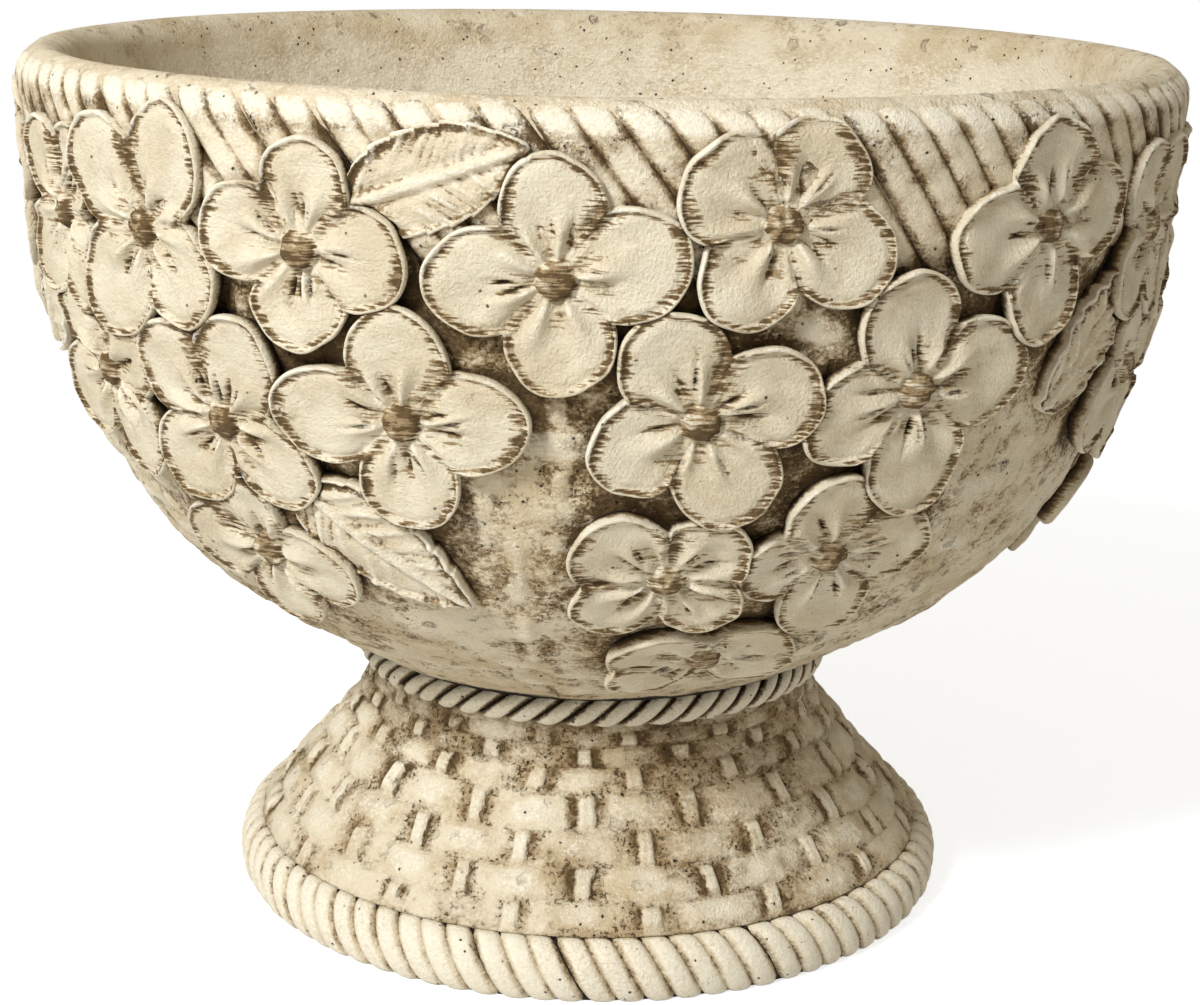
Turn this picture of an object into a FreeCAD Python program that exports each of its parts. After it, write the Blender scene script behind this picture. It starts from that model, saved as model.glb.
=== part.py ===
import FreeCAD, Part
import functools
import math
import os

from FreeCAD import Placement, Rotation, Vector

# Stone flower pot: a footed bowl in cast stone, woven like a basket, with a garland
# of four-petalled flowers and leaves in relief, a reeded band under the lip and a
# twisted rope round the neck and the foot. Millimetres and degrees. +Z is up, the
# origin is the centre of the foot on the ground, and azimuth 0 is the front, at -Y,
# with azimuths counted towards +X.

DIMENSIONS = (
    # Overall
    ("pot_height", 298.0),
    ("rim_radius", 199.0),
    ("pedestal_height", 80.0),
    ("seat_gap", 0.3),
    ("draft", 1.0),
    ("overrun", 5.0),
    # Bowl
    ("belly_inset", 8.3),
    ("bowl_wall", 19.0),
    ("bowl_floor", 17.0),
    ("ledge_stand", 1.5),
    ("lip_height", 20.0),
    ("lip_round", 10.0),
    ("stub_inset", 6.5),
    ("drain_radius", 12.5),
    # Pedestal
    ("neck_radius", 80.5),
    ("neck_flare", 6.5),
    ("neck_height", 19.0),
    ("flange_inset", 7.5),
    ("core_inset", 17.5),
    ("pedestal_wall", 18.0),
    ("pedestal_top", 20.0),
    # Foot rope
    ("foot_rope_radius", 128.5),
    ("foot_rope_height", 20.7),
    ("foot_rope_edge", 5.5),
    ("foot_strand_depth", 2.6),
    ("foot_strand_count", 82.0),
    # Neck rope
    ("neck_rope_stand", 2.3),
    ("neck_rope_height", 8.0),
    ("neck_rope_edge", 3.6),
    ("neck_strand_depth", 2.0),
    ("neck_strand_count", 54.0),
    # Reeded band
    ("band_stand", 5.8),
    ("band_taper", 1.5),
    ("band_height", 28.0),
    ("band_gap", 0.6),
    ("band_strand_depth", 2.0),
    ("band_strand_count", 100.0),
    # Flowers
    ("petal_reach", 36.0),
    ("petal_width", 31.0),
    ("petal_root", 4.0),
    ("petal_edge", 6.6),
    ("petal_lift", 1.0),
    ("petal_dish", 1.6),
    ("petal_undercut", 2.6),
    ("throat_radius", 5.6),
    ("throat_depth", 3.6),
    ("boss_top_radius", 3.8),
    ("boss_height", 3.6),
    ("flower_gap", 0.6),
    # Leaves
    ("leaf_length", 64.0),
    ("leaf_width", 35.0),
    ("leaf_edge", 4.6),
    ("leaf_vein", 1.4),
    ("leaf_notch", 1.6),
    ("leaf_undercut", 1.8),
)

# The pattern is cast three times round the pot.
REPEATS = 3
FULL_TURN = 360.0
HALF = 0.5

# Outline of the bowl's outer wall, up from the ledge: shares of the way out from the
# ledge radius to the belly radius, and of the way up from the ledge to the lip.
WALL_SHARES = (
    (0.0, 0.0),
    (0.354, 0.124),
    (0.541, 0.206),
    (0.697, 0.307),
    (0.826, 0.435),
    (0.935, 0.611),
    (0.994, 0.794),
    (1.0, 1.0),
)

# Where the inner wall follows the outer one, counted along WALL_SHARES.
INNER_STATIONS = (6, 4, 2)

# Outline of the pedestal's neck: shares of the way in and up from the flare.
NECK_SHARES = ((0.6, 0.32), (0.9, 0.63), (1.0, 1.0))

# Flowers of one repeat: row, azimuth, share of the wall's height, and for each of the
# four petals its heading (counter-clockwise from the right) and its shares of
# petal_reach and petal_width.
# A flower lies over those listed after it.
UPPER, SIDE, LOWER = "upper", "side", "lower"
FLOWER_SHARES = (
    (UPPER, 14.9, 0.929, ((148, 0.93, 1.06), (62, 0.93, 1.00), (332, 0.97, 1.00), (240, 0.90, 0.97))),
    (UPPER, -3.5, 0.845, ((181, 0.99, 1.00), (92, 1.00, 0.94), (13, 1.06, 1.03), (277, 0.88, 1.00))),
    (UPPER, -25.6, 0.868, ((166, 0.90, 0.95), (79, 0.92, 0.90), (357, 0.96, 0.97), (268, 0.82, 0.94))),
    (UPPER, -43.3, 0.868, ((135, 1.14, 1.06), (59, 1.15, 1.03), (322, 0.97, 0.97), (230, 1.12, 1.10))),
    (UPPER, 42.2, 0.903, ((105, 1.06, 1.00), (12, 0.99, 1.06), (271, 1.00, 1.03), (183, 1.08, 1.00))),
    (UPPER, 62.4, 0.866, ((128, 0.92, 0.94), (48, 0.92, 0.94), (308, 0.92, 0.94), (226, 0.92, 0.94))),
    (SIDE, 9.0, 0.631, ((116, 1.00, 1.00), (22, 0.99, 1.03), (297, 0.96, 1.03), (203, 0.90, 0.97))),
    (SIDE, 29.2, 0.663, ((108, 1.07, 1.06), (12, 1.06, 1.10), (279, 1.11, 1.06), (195, 1.04, 0.97))),
    (SIDE, -17.2, 0.614, ((177, 1.10, 0.94), (88, 0.99, 1.00), (5, 1.11, 0.97), (273, 0.92, 0.94))),
    (SIDE, -36.7, 0.574, ((133, 1.01, 0.97), (62, 1.07, 1.00), (328, 0.99, 0.94), (222, 0.99, 1.00))),
    (SIDE, 66.0, 0.612, ((118, 1.00, 1.00), (30, 1.00, 1.00), (300, 1.00, 1.00), (208, 1.00, 1.00))),
    (LOWER, 7.4, 0.358, ((143, 0.92, 0.97), (47, 0.82, 0.87), (322, 0.71, 0.81), (212, 0.82, 0.84))),
    (LOWER, 24.4, 0.386, ((104, 0.86, 0.97), (184, 0.82, 0.77), (12, 0.89, 0.97), (280, 0.94, 0.94))),
    (LOWER, -36.9, 0.345, ((100, 0.88, 0.94), (175, 0.90, 0.94), (350, 0.90, 0.94), (265, 0.85, 0.90))),
    (LOWER, 14.4, 0.180, ((165, 0.86, 0.90), (30, 0.80, 0.87), (345, 0.85, 0.85), (215, 0.85, 0.87))),
)

# Leaves of one repeat: row, azimuth, share of the wall's height, heading, and shares of
# leaf_length and leaf_width.
LEAF_SHARES = (
    (UPPER, -13.8, 0.995, 20.0, 0.91, 0.89),
    (LOWER, -21.4, 0.391, 319.0, 1.0, 1.0),
    (SIDE, 52.8, 0.715, 49.0, 0.97, 0.83),
)

# How far round the lip's section its corners lie, in quarter turns from straight out,
# over the top and down to the inside.
LIP_TURN_SHARES = (-0.4, 0.0, 0.5, 1.0, 1.5, 2.0)
QUARTER_TURN = 90.0

# Petal outline between one valley and the next, in shares of the half width.
PETAL_STATION_SHARES = (-1.0, -0.84, -0.56, -0.2, 0.2, 0.56, 0.84)
BACK_STATION_SHARES = (-1.0, -0.5, 0.5)
PETAL_DISH_SHARE = 0.62

# How often the place of the seam between two petals is halved to find it.
SEAM_STEPS = 20

# Leaf outline along its length: half width shares at the teeth.
LEAF_TOOTH_SHARES = ((0.10, 0.42), (0.27, 0.84), (0.46, 1.0), (0.64, 0.90), (0.82, 0.58))
LEAF_NOTCH_SHARE = 0.09

# How far apart two pieces of relief can still meet, in shares of petal_reach.
NEAR_SHARE = 2.4

# How far strands lean from the bottom to the top of a rope or band, in pitches.
FOOT_LEAN = -1.4
NECK_LEAN = 1.2
BAND_LEAN = -1.4

# How many flat sides a turned piece has round it.
BOWL_SIDES = 60
PEDESTAL_SIDES = 48
RING_SIDES = 40
RIM_SIDES = 64

os.makedirs("parts", exist_ok=True)
document = FreeCAD.newDocument("StoneFlowerPot")
sheet = document.addObject("Spreadsheet::Sheet", "Dims")
for row, (alias, value) in enumerate(DIMENSIONS, 1):
    sheet.set("A%d" % row, alias)
    sheet.set("B%d" % row, repr(value))
    sheet.setAlias("B%d" % row, alias)
document.recompute()


@functools.lru_cache(maxsize=None)
def size(expression):
    """The value of an expression in the sheet's aliases."""
    return float(sheet.evalExpression(expression))


def bound(expression):
    """The same expression as another object's property reads it."""
    words = expression.split(" ")
    names = {alias for alias, _ in DIMENSIONS}
    return " ".join("Dims." + word if word in names else word for word in words)


def between(low, high, share):
    """Expression for a share of the way from one expression to another."""
    return "( %s ) + %r * ( ( %s ) - ( %s ) )" % (low, share, high, low)


# Radii and heights worked out from the driving dimensions
LEDGE_R = "neck_radius + ledge_stand"
STUB_R = "neck_radius - stub_inset"
FLARE_R = "neck_radius + neck_flare"
FLANGE_R = "foot_rope_radius - flange_inset"
CORE_R = "foot_rope_radius - core_inset"
BELLY_R = "rim_radius - belly_inset"
BAND_R = BELLY_R + " + band_stand"
LEDGE_Z = "pedestal_height + neck_rope_height + seat_gap + draft"
LIP_Z = "pot_height - lip_height"
BAND_TOP_Z = LIP_Z + " - band_gap"
FLOOR_Z = "pedestal_height + neck_rope_height + bowl_floor"


def wall_outline():
    """Outer wall of the bowl as (radius, height) expressions, from the ledge up."""
    return [
        (between(LEDGE_R, BELLY_R, out), between(LEDGE_Z, LIP_Z, up))
        for out, up in WALL_SHARES
    ]


def inner_point(station):
    """A point one wall thickness inside the outer wall, square to it."""
    radius, height = wall_outline()[station]
    before = WALL_SHARES[station - 1]
    after = WALL_SHARES[station + 1]
    run = (after[0] - before[0]) * size("( %s ) - ( %s )" % (BELLY_R, LEDGE_R))
    rise = (after[1] - before[1]) * size("( %s ) - ( %s )" % (LIP_Z, LEDGE_Z))
    length = math.hypot(run, rise)
    inward = "%s - bowl_wall * %r" % (radius, rise / length)
    upward = "%s + bowl_wall * %r" % (height, run / length)
    return inward, upward


def add_feature(label, shape, place=None):
    """A named object of the document that holds a shape."""
    feature = document.addObject("Part::Feature", label)
    feature.Label = label
    feature.Shape = shape
    feature.Placement = place or Placement()
    return feature


def drain(label, low, high):
    """The drain hole's cylinder between two heights, run past both."""
    hole = document.addObject("Part::Cylinder", label)
    hole.setExpression("Radius", bound("drain_radius"))
    hole.setExpression("Height", bound("( %s ) - ( %s ) + 2 * overrun" % (high, low)))
    hole.setExpression("Placement.Base.z", bound("%s - overrun" % low))
    return hole


def drained(label, outline, sides, low, high):
    """A named turning with the drain hole cut through it."""
    body = add_feature(label + "_turning", turning(outline, sides))
    cut = document.addObject("Part::Cut", label)
    cut.Label = label
    cut.Base = body
    cut.Tool = drain(label + "_drain", low, high)
    document.recompute()
    return cut


def lip_point(turn):
    """A corner of the lip's rounded section, at a share of a quarter turn."""
    angle = math.radians(QUARTER_TURN * turn)
    radius = "rim_radius - lip_round + lip_round * %r" % math.cos(angle)
    height = "pot_height - lip_round + lip_round * %r" % math.sin(angle)
    return radius, height


def make_bowl():
    """Bowl: floor, swelling wall and rounded lip, on a short stub in the neck."""
    outline = [(STUB_R, "pedestal_height"), (STUB_R, LEDGE_Z + " - draft")]
    outline += wall_outline()
    outline += [lip_point(turn) for turn in LIP_TURN_SHARES]
    outline += [inner_point(station) for station in INNER_STATIONS]
    outline.append((STUB_R + " - %r * bowl_wall" % HALF, FLOOR_Z))
    return drained("bowl", outline, BOWL_SIDES, "pedestal_height", FLOOR_Z)


def make_pedestal():
    """Pedestal: a flared foot, hollow from below, with a seat for each rope."""
    flange_z = "foot_rope_height + seat_gap"
    flare_z = "pedestal_height - neck_height"
    ceiling_z = "pedestal_height - pedestal_top"
    outline = [
        (FLARE_R + " - pedestal_wall", ceiling_z),
        (CORE_R + " - pedestal_wall", "0"),
        (CORE_R, "0"),
        (CORE_R, flange_z),
        (FLANGE_R, flange_z + " + draft"),
        (FLARE_R, flare_z),
    ]
    for out, up in NECK_SHARES:
        radius = between(FLARE_R, "neck_radius", out)
        outline.append((radius, between(flare_z, "pedestal_height", up)))
    return drained("pedestal", outline, PEDESTAL_SIDES, ceiling_z, "pedestal_height")


def closed_wire(loop):
    """A closed wire of straight edges through a loop of points."""
    return Part.makePolygon(loop + loop[:1])


def flat_face(loop):
    """A flat face inside a loop of points."""
    return Part.Face(closed_wire(loop))


def solid_of(faces):
    """A solid from the flat faces that close it."""
    shell = Part.makeShell(faces)
    shell.sewShape()
    return Part.makeSolid(shell)


def ring_point(radius, azimuth, height):
    """A point on the pot, from its radius, azimuth in degrees and height."""
    angle = math.radians(azimuth)
    return Vector(radius * math.sin(angle), -radius * math.cos(angle), height)


def regular_loop(radius, height, sides):
    """A regular polygon whose sides just clear a circle of this radius."""
    corner = radius / math.cos(math.pi / sides)
    return [ring_point(corner, FULL_TURN * step / sides, height) for step in range(sides)]


def turning(outline, sides):
    """A solid turned with many flat sides, from (radius, height) expressions."""
    turns = [FULL_TURN * step / sides for step in range(sides)]
    rings = []
    for radius, height in outline:
        rings.append([ring_point(size(radius), turn, size(height)) for turn in turns])
    faces = [flat_face(rings[0]), flat_face(rings[-1])]
    for low, high in zip(rings, rings[1:]):
        for step in range(sides):
            after = (step + 1) % sides
            faces.append(flat_face([low[step], low[after], high[after], high[step]]))
    return solid_of(faces)


def strand_ring(levels, count, inner_radius):
    """A ring of leaning strands: levels of (height, crest, valley, lean in pitches)."""
    rows = []
    for height, crest, valley, lean in levels:
        row = []
        for step in range(2 * count):
            azimuth = FULL_TURN / count * (HALF * step + lean)
            row.append(ring_point(valley if step % 2 else crest, azimuth, height))
        rows.append(row)
    faces = []
    for low, high in zip(rows, rows[1:]):
        for step in range(2 * count):
            after = (step + 1) % (2 * count)
            faces.append([low[step], low[after], high[step]])
            faces.append([low[after], high[after], high[step]])
    bottom = regular_loop(inner_radius, levels[0][0], RING_SIDES)
    top = regular_loop(inner_radius, levels[-1][0], RING_SIDES)
    for step in range(RING_SIDES):
        after = (step + 1) % RING_SIDES
        faces.append([bottom[step], bottom[after], top[after], top[step]])
    shapes = [flat_face(loop) for loop in faces]
    for outer, inner in ((rows[0], bottom), (rows[-1], top)):
        wires = [closed_wire(outer), closed_wire(inner)]
        shapes.append(Part.makeFace(wires, "Part::FaceMakerBullseye"))
    return solid_of(shapes)


def rope_levels(base, height, radius, edge, depth, lean):
    """Levels of a rounded rope: a full middle and edges drawn in."""
    levels = []
    for share, drawn in ((0.0, 1.0), (0.5, 0.0), (1.0, 1.0)):
        crest = radius - drawn * edge
        valley = crest - depth * (1.0 - HALF * drawn)
        levels.append((base + share * height, crest, valley, lean * share))
    return levels


def make_foot_rope():
    """Twisted rope round the foot, on the ground under the pedestal's flange."""
    levels = rope_levels(
        0.0,
        size("foot_rope_height"),
        size("foot_rope_radius"),
        size("foot_rope_edge"),
        size("foot_strand_depth"),
        FOOT_LEAN,
    )
    return strand_ring(levels, int(size("foot_strand_count")), size(CORE_R + " + seat_gap"))


def make_neck_rope():
    """Twisted rope round the stub, between the pedestal's top and the bowl's ledge."""
    levels = rope_levels(
        size("pedestal_height"),
        size("neck_rope_height"),
        size("neck_radius + neck_rope_stand"),
        size("neck_rope_edge"),
        size("neck_strand_depth"),
        NECK_LEAN,
    )
    return strand_ring(levels, int(size("neck_strand_count")), size(STUB_R + " + seat_gap"))


def make_rim_band():
    """Band of leaning reeds round the bowl, close under the lip."""
    crest = size(BAND_R)
    valley = size(BAND_R + " - band_strand_depth")
    top = size(BAND_TOP_Z)
    taper = size("band_taper")
    levels = [
        (top - size("band_height"), crest - taper, valley - taper, 0.0),
        (top, crest, valley, BAND_LEAN),
    ]
    inner = size(BELLY_R + " + seat_gap")
    return strand_ring(levels, int(size("band_strand_count")), inner)


def bed_line(row, height):
    """The two (radius, height) points whose line carries relief at this height."""
    if row == UPPER:
        top = size(BAND_TOP_Z)
        radius = size(BAND_R)
        return (radius - size("band_taper"), top - size("band_height")), (radius, top)
    outline = [(size(radius), size(up)) for radius, up in wall_outline()]
    return next(pair for pair in zip(outline, outline[1:]) if pair[1][1] >= height)


def seat(row, azimuth, height_share, heading=0.0):
    """Placement on the pot: x along the wall, y up it, z out of it, one gap clear."""
    height = size(between(LEDGE_Z, LIP_Z, height_share))
    low, high = bed_line(row, height)
    slope = math.atan2(high[0] - low[0], high[1] - low[1])
    foot = ring_point(low[0] + (height - low[1]) * math.tan(slope), azimuth, height)
    stand = Placement(foot, Rotation(Vector(0, 0, 1), azimuth))
    tilt = Rotation(Vector(1, 0, 0), QUARTER_TURN + math.degrees(slope))
    stand = stand * Placement(Vector(), tilt)
    stand = stand * Placement(Vector(0, 0, size("seat_gap")), Rotation())
    return stand * Placement(Vector(), Rotation(Vector(0, 0, 1), heading))


def polar(reach, heading, height):
    """A point of a flower, from its distance, heading and height over the back."""
    angle = math.radians(heading)
    return Vector(reach * math.cos(angle), reach * math.sin(angle), height)


def fall(reach):
    """How far the wall has fallen back this far from where a flower sits."""
    return reach ** 2 / (2 * size(BELLY_R))


def petal_radius(petal, heading):
    """How far an oval petal reaches from the throat in this direction."""
    own_heading, reach_share, width_share = petal
    tip = reach_share * size("petal_reach")
    root = size("petal_root")
    middle = HALF * (tip - root)
    half_length = HALF * (tip + root)
    half_width = HALF * width_share * size("petal_width")
    angle = math.radians(heading - own_heading)
    square = (math.cos(angle) / half_length) ** 2 + (math.sin(angle) / half_width) ** 2
    slope = middle * math.cos(angle) / half_length ** 2
    rest = (middle / half_length) ** 2 - 1.0
    return (slope + math.sqrt(slope ** 2 - square * rest)) / square


def seam_heading(petal, other):
    """Heading of the seam where one petal's edge meets that of the next one round."""
    low = petal[0]
    high = other[0] if other[0] > low else other[0] + FULL_TURN
    for _ in range(SEAM_STEPS):
        middle = HALF * (low + high)
        if petal_radius(petal, middle) > petal_radius(other, middle):
            low = middle
        else:
            high = middle
    return HALF * (low + high)


def petal_outlines(petals, stations):
    """For each petal in turn, its heading, tip and outline from one seam on."""
    ordered = sorted(petals)
    outlines = []
    for index, petal in enumerate(ordered):
        heading = petal[0]
        after = seam_heading(petal, ordered[(index + 1) % len(ordered)])
        before = seam_heading(ordered[index - 1], petal)
        before -= FULL_TURN if before > heading else 0.0
        outline = []
        for station in stations:
            side = (heading - before) if station < 0 else (after - heading)
            turn = heading + side * station
            outline.append((petal_radius(petal, turn), turn, 1.0 - station ** 2))
        outlines.append((heading, petal[1] * size("petal_reach"), outline))
    return outlines


def corner_under(step, corners):
    """Which of a flower's back corners is under this point of its outline."""
    petal, station = divmod(step, len(PETAL_STATION_SHARES))
    return (petal * len(BACK_STATION_SHARES) + station // 2) % corners


def flower_back(petals):
    """The flat back of a flower, drawn in under its edge."""
    return [
        polar(reach - size("petal_undercut"), turn, 0.0)
        for _, _, outline in petal_outlines(petals, BACK_STATION_SHARES)
        for reach, turn, _ in outline
    ]


def flower_solid(petals):
    """A flower: four dished petals round a throat with a boss, undercut all round."""
    edge = size("petal_edge")
    throat_z = size("petal_edge - throat_depth")
    throat_radius = size("throat_radius")
    outlines = petal_outlines(petals, PETAL_STATION_SHARES)
    back = flower_back(petals)
    rim = []
    throat = []
    boss = []
    for heading, tip, outline in outlines:
        for reach, turn, fullness in outline:
            rim.append(polar(reach, turn, edge + size("petal_lift") * fullness - fall(reach)))
        for turn in (outline[0][1], heading):
            throat.append(polar(throat_radius, turn, throat_z))
            boss.append(polar(size("boss_top_radius"), turn, throat_z + size("boss_height")))
    faces = [list(reversed(back)), boss]
    stations = len(PETAL_STATION_SHARES)
    for index, (heading, tip, outline) in enumerate(outlines):
        middle = tip * PETAL_DISH_SHARE
        dish = polar(middle, heading, edge - size("petal_dish") - fall(middle))
        first = index * stations
        loop = [rim[(first + step) % len(rim)] for step in range(stations + 1)]
        loop += [throat[(2 * index + step) % len(throat)] for step in (2, 1, 0)]
        for point, after in zip(loop, loop[1:] + loop[:1]):
            faces.append([dish, point, after])
    for step in range(len(rim)):
        after = (step + 1) % len(rim)
        under = back[corner_under(step, len(back))]
        under_after = back[corner_under(after, len(back))]
        faces.append([rim[step], under, rim[after]])
        if under != under_after:
            faces.append([rim[after], under, under_after])
    for step in range(len(throat)):
        after = (step + 1) % len(throat)
        faces.append([throat[step], throat[after], boss[after], boss[step]])
    return solid_of([flat_face(loop) for loop in faces])


def flower_room(petals):
    """The space a flower needs: its outline with a gap round it, through the relief."""
    gap = size("flower_gap")
    depth = size("petal_reach")
    loop = [
        polar(reach + gap, turn, -depth)
        for _, _, outline in petal_outlines(petals, PETAL_STATION_SHARES)
        for reach, turn, _ in outline
    ]
    return flat_face(loop).extrude(Vector(0, 0, 2 * depth))


def leaf_solid(length_share, width_share):
    """A long toothed leaf with a raised middle vein, undercut all round."""
    length = size("leaf_length") * length_share
    width = HALF * size("leaf_width") * width_share
    edge = size("leaf_edge")
    notch = size("leaf_notch")
    undercut = size("leaf_undercut")
    upper = []
    for along, out in LEAF_TOOTH_SHARES:
        upper.append((along, out * width))
        upper.append((along + LEAF_NOTCH_SHARE, out * width - notch))
    half = [((along - HALF) * length, out) for along, out in upper]
    start = (-HALF * length, 0.0)
    tip = (HALF * length, 0.0)
    outline = [start] + [(along, -out) for along, out in half] + [tip] + half[::-1]
    rim = [Vector(along, out, edge) for along, out in outline]
    back = []
    for along, out in outline:
        shrink = 1.0 - undercut / width
        back.append(Vector(along * shrink, out * shrink, 0.0))
    count = len(half)
    vein = [Vector(along, 0.0, edge + size("leaf_vein")) for along, _ in half]
    faces = [list(reversed(back))]
    for side, sign in ((range(0, count + 2), 1), (range(count + 1, 2 * count + 3), -1)):
        loop = [rim[step % len(rim)] for step in side]
        spine = vein if sign > 0 else vein[::-1]
        faces.append([loop[0], loop[1], spine[0]])
        for step in range(count - 1):
            faces.append([spine[step], loop[step + 1], loop[step + 2]])
            faces.append([spine[step], loop[step + 2], spine[step + 1]])
        faces.append([spine[-1], loop[-2], loop[-1]])
    for step in range(len(rim)):
        after = (step + 1) % len(rim)
        faces.append([rim[step], back[step], rim[after]])
        faces.append([rim[after], back[step], back[after]])
    return solid_of([flat_face(loop) for loop in faces])


def rim_rooms():
    """The space of the reeded band and of the lip, which relief on the rim lies over."""
    gap = size("seat_gap")
    top = size(BAND_TOP_Z)
    band = size(BAND_R + " + seat_gap")
    lip = size("rim_radius + seat_gap")
    steps = (
        (band - size("band_taper"), top - size("band_height") - gap, band, top),
        (lip, top, lip, size("pot_height") + gap),
    )
    rooms = []
    for low_radius, low, high_radius, high in steps:
        loops = [regular_loop(low_radius, low, RIM_SIDES), regular_loop(high_radius, high, RIM_SIDES)]
        loft = Part.makeLoft([closed_wire(loop) for loop in loops], True, True)
        rooms.append((loft, Placement()))
    return rooms


def near(one, other):
    """Whether two pieces of relief are close enough to meet."""
    return one.Base.distanceToPoint(other.Base) < NEAR_SHARE * size("petal_reach")


def cut_clear(shape, place, rooms):
    """Cut the placed rooms from a shape that sits at a place, and keep its main piece."""
    for room_shape, room_place in rooms:
        room = room_shape.copy()
        room.Placement = place.inverse() * room_place
        if room.BoundBox.intersect(shape.BoundBox):
            shape = shape.cut(room)
    return max(shape.Solids, key=lambda solid: solid.Volume)


def repeat_turn(repeat):
    """Placement of one repeat of the pattern."""
    return Placement(Vector(), Rotation(Vector(0, 0, 1), FULL_TURN * repeat / REPEATS))


def make_relief():
    """Flowers and leaves of one repeat as (name, shape, placement)."""
    pieces = []
    taken = []
    rim = rim_rooms()
    turns = [repeat_turn(repeat) for repeat in (-1, 0, 1)]
    for row, azimuth, up, petals in FLOWER_SHARES:
        place = seat(row, azimuth, up)
        rooms = [entry for entry in taken if near(entry[1], place)]
        if row != LOWER:
            rooms += rim
        shape = cut_clear(flower_solid(petals), place, rooms)
        pieces.append(("flower_" + row, shape, place))
        room = flower_room(petals)
        taken += [(room, turn * place) for turn in turns]
    for row, azimuth, up, heading, length_share, width_share in LEAF_SHARES:
        place = seat(row, azimuth, up, heading)
        rooms = [entry for entry in taken if near(entry[1], place)]
        shape = cut_clear(leaf_solid(length_share, width_share), place, rooms + rim)
        pieces.append(("leaf", shape, place))
    return pieces


nodes = [make_bowl(), make_pedestal()]
nodes.append(add_feature("rim_band", make_rim_band()))
nodes.append(add_feature("neck_rope", make_neck_rope()))
nodes.append(add_feature("foot_rope", make_foot_rope()))
relief = make_relief()
for repeat in range(REPEATS):
    for index, (name, shape, place) in enumerate(relief, 1):
        label = "%s_%d_%02d" % (name, repeat + 1, index)
        nodes.append(add_feature(label, shape, repeat_turn(repeat) * place))

document.recompute()
for item in document.Objects:
    if "Invalid" in item.State or "Error" in item.State:
        raise RuntimeError(item.Name + " failed")
for node in nodes:
    if node.Shape.isNull() or not node.Shape.isValid():
        raise RuntimeError(node.Label + " has no valid shape")
for node in nodes:
    node.Shape.exportStep("parts/%s.step" % node.Label)
print(len(nodes), "pieces written")
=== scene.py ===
import math

import bpy
import numpy as np
from mathutils import Matrix, Vector


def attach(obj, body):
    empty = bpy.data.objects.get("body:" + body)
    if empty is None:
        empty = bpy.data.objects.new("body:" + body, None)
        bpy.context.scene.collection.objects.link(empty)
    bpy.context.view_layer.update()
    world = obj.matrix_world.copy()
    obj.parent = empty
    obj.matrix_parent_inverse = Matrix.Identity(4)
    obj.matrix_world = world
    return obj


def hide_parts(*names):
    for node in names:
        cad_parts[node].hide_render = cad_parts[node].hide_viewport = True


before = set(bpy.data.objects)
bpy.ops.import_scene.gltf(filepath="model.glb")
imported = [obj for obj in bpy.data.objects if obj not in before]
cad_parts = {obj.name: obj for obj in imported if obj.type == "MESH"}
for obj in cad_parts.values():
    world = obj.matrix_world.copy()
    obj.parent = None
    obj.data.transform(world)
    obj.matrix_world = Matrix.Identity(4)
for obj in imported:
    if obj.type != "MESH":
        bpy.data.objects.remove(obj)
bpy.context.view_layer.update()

# Stone flower pot: a footed bowl in cast stone with a relief garland, cream with a tan
# wash left in its hollows; shade and highlights are painted into its colour as well.
# Lengths are in millimetres and angles in degrees until a mesh is made. Azimuth 0 is
# the front, at -Y, and azimuths are counted towards +X.
MM = 0.001
REPEATS = 3

# Driving sizes of the bowl
LEDGE = (82.0, 88.4)
SLOPE_END = (120.4, 111.5)
MIDDLE_ARC = (49.4, 225.1, 134.0)
MIDDLE_END_Z = 170.6
UPPER_ARC = (-33.7, 262.0, 225.0)
UPPER_END_Z = 262.0
LIP_STAND = 194.6
LIP_Z = 286.0
STUB_RADIUS = 74.0
DRAIN_RADIUS = 12.5
BOWL_FLOOR_Z = 105.0

# Driving sizes of the relief
PETAL_REACH = 36.0
PETAL_WIDTH = 31.0
PETAL_ROOT = -4.0
PETAL_START = 1.5
VALLEY = 13.5
BOSS = 5.6
RELIEF = 5.6
LEAF_LENGTH = 64.0
LEAF_WIDTH = 35.0
LEDGE_Z = 89.3
RELIEF_TOP_Z = 278.0
FLOWER_RIM_DROP = 2.1
LEAF_RIM_DROP = 0.4

# Driving sizes of the weave: stakes all round, and how far strips and stakes stand out
BOWL_STAKES = 48
FOOT_STAKES = 32
STRIP_HEIGHT = 11.5
STRIP_BULGE = 2.4
STAKE_STAND = 2.4
STAKE_WIDTH = 5.2
FOOT_STAKE_WIDTH = 5.4

UPPER, SIDE, LOWER = "upper", "side", "lower"
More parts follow.
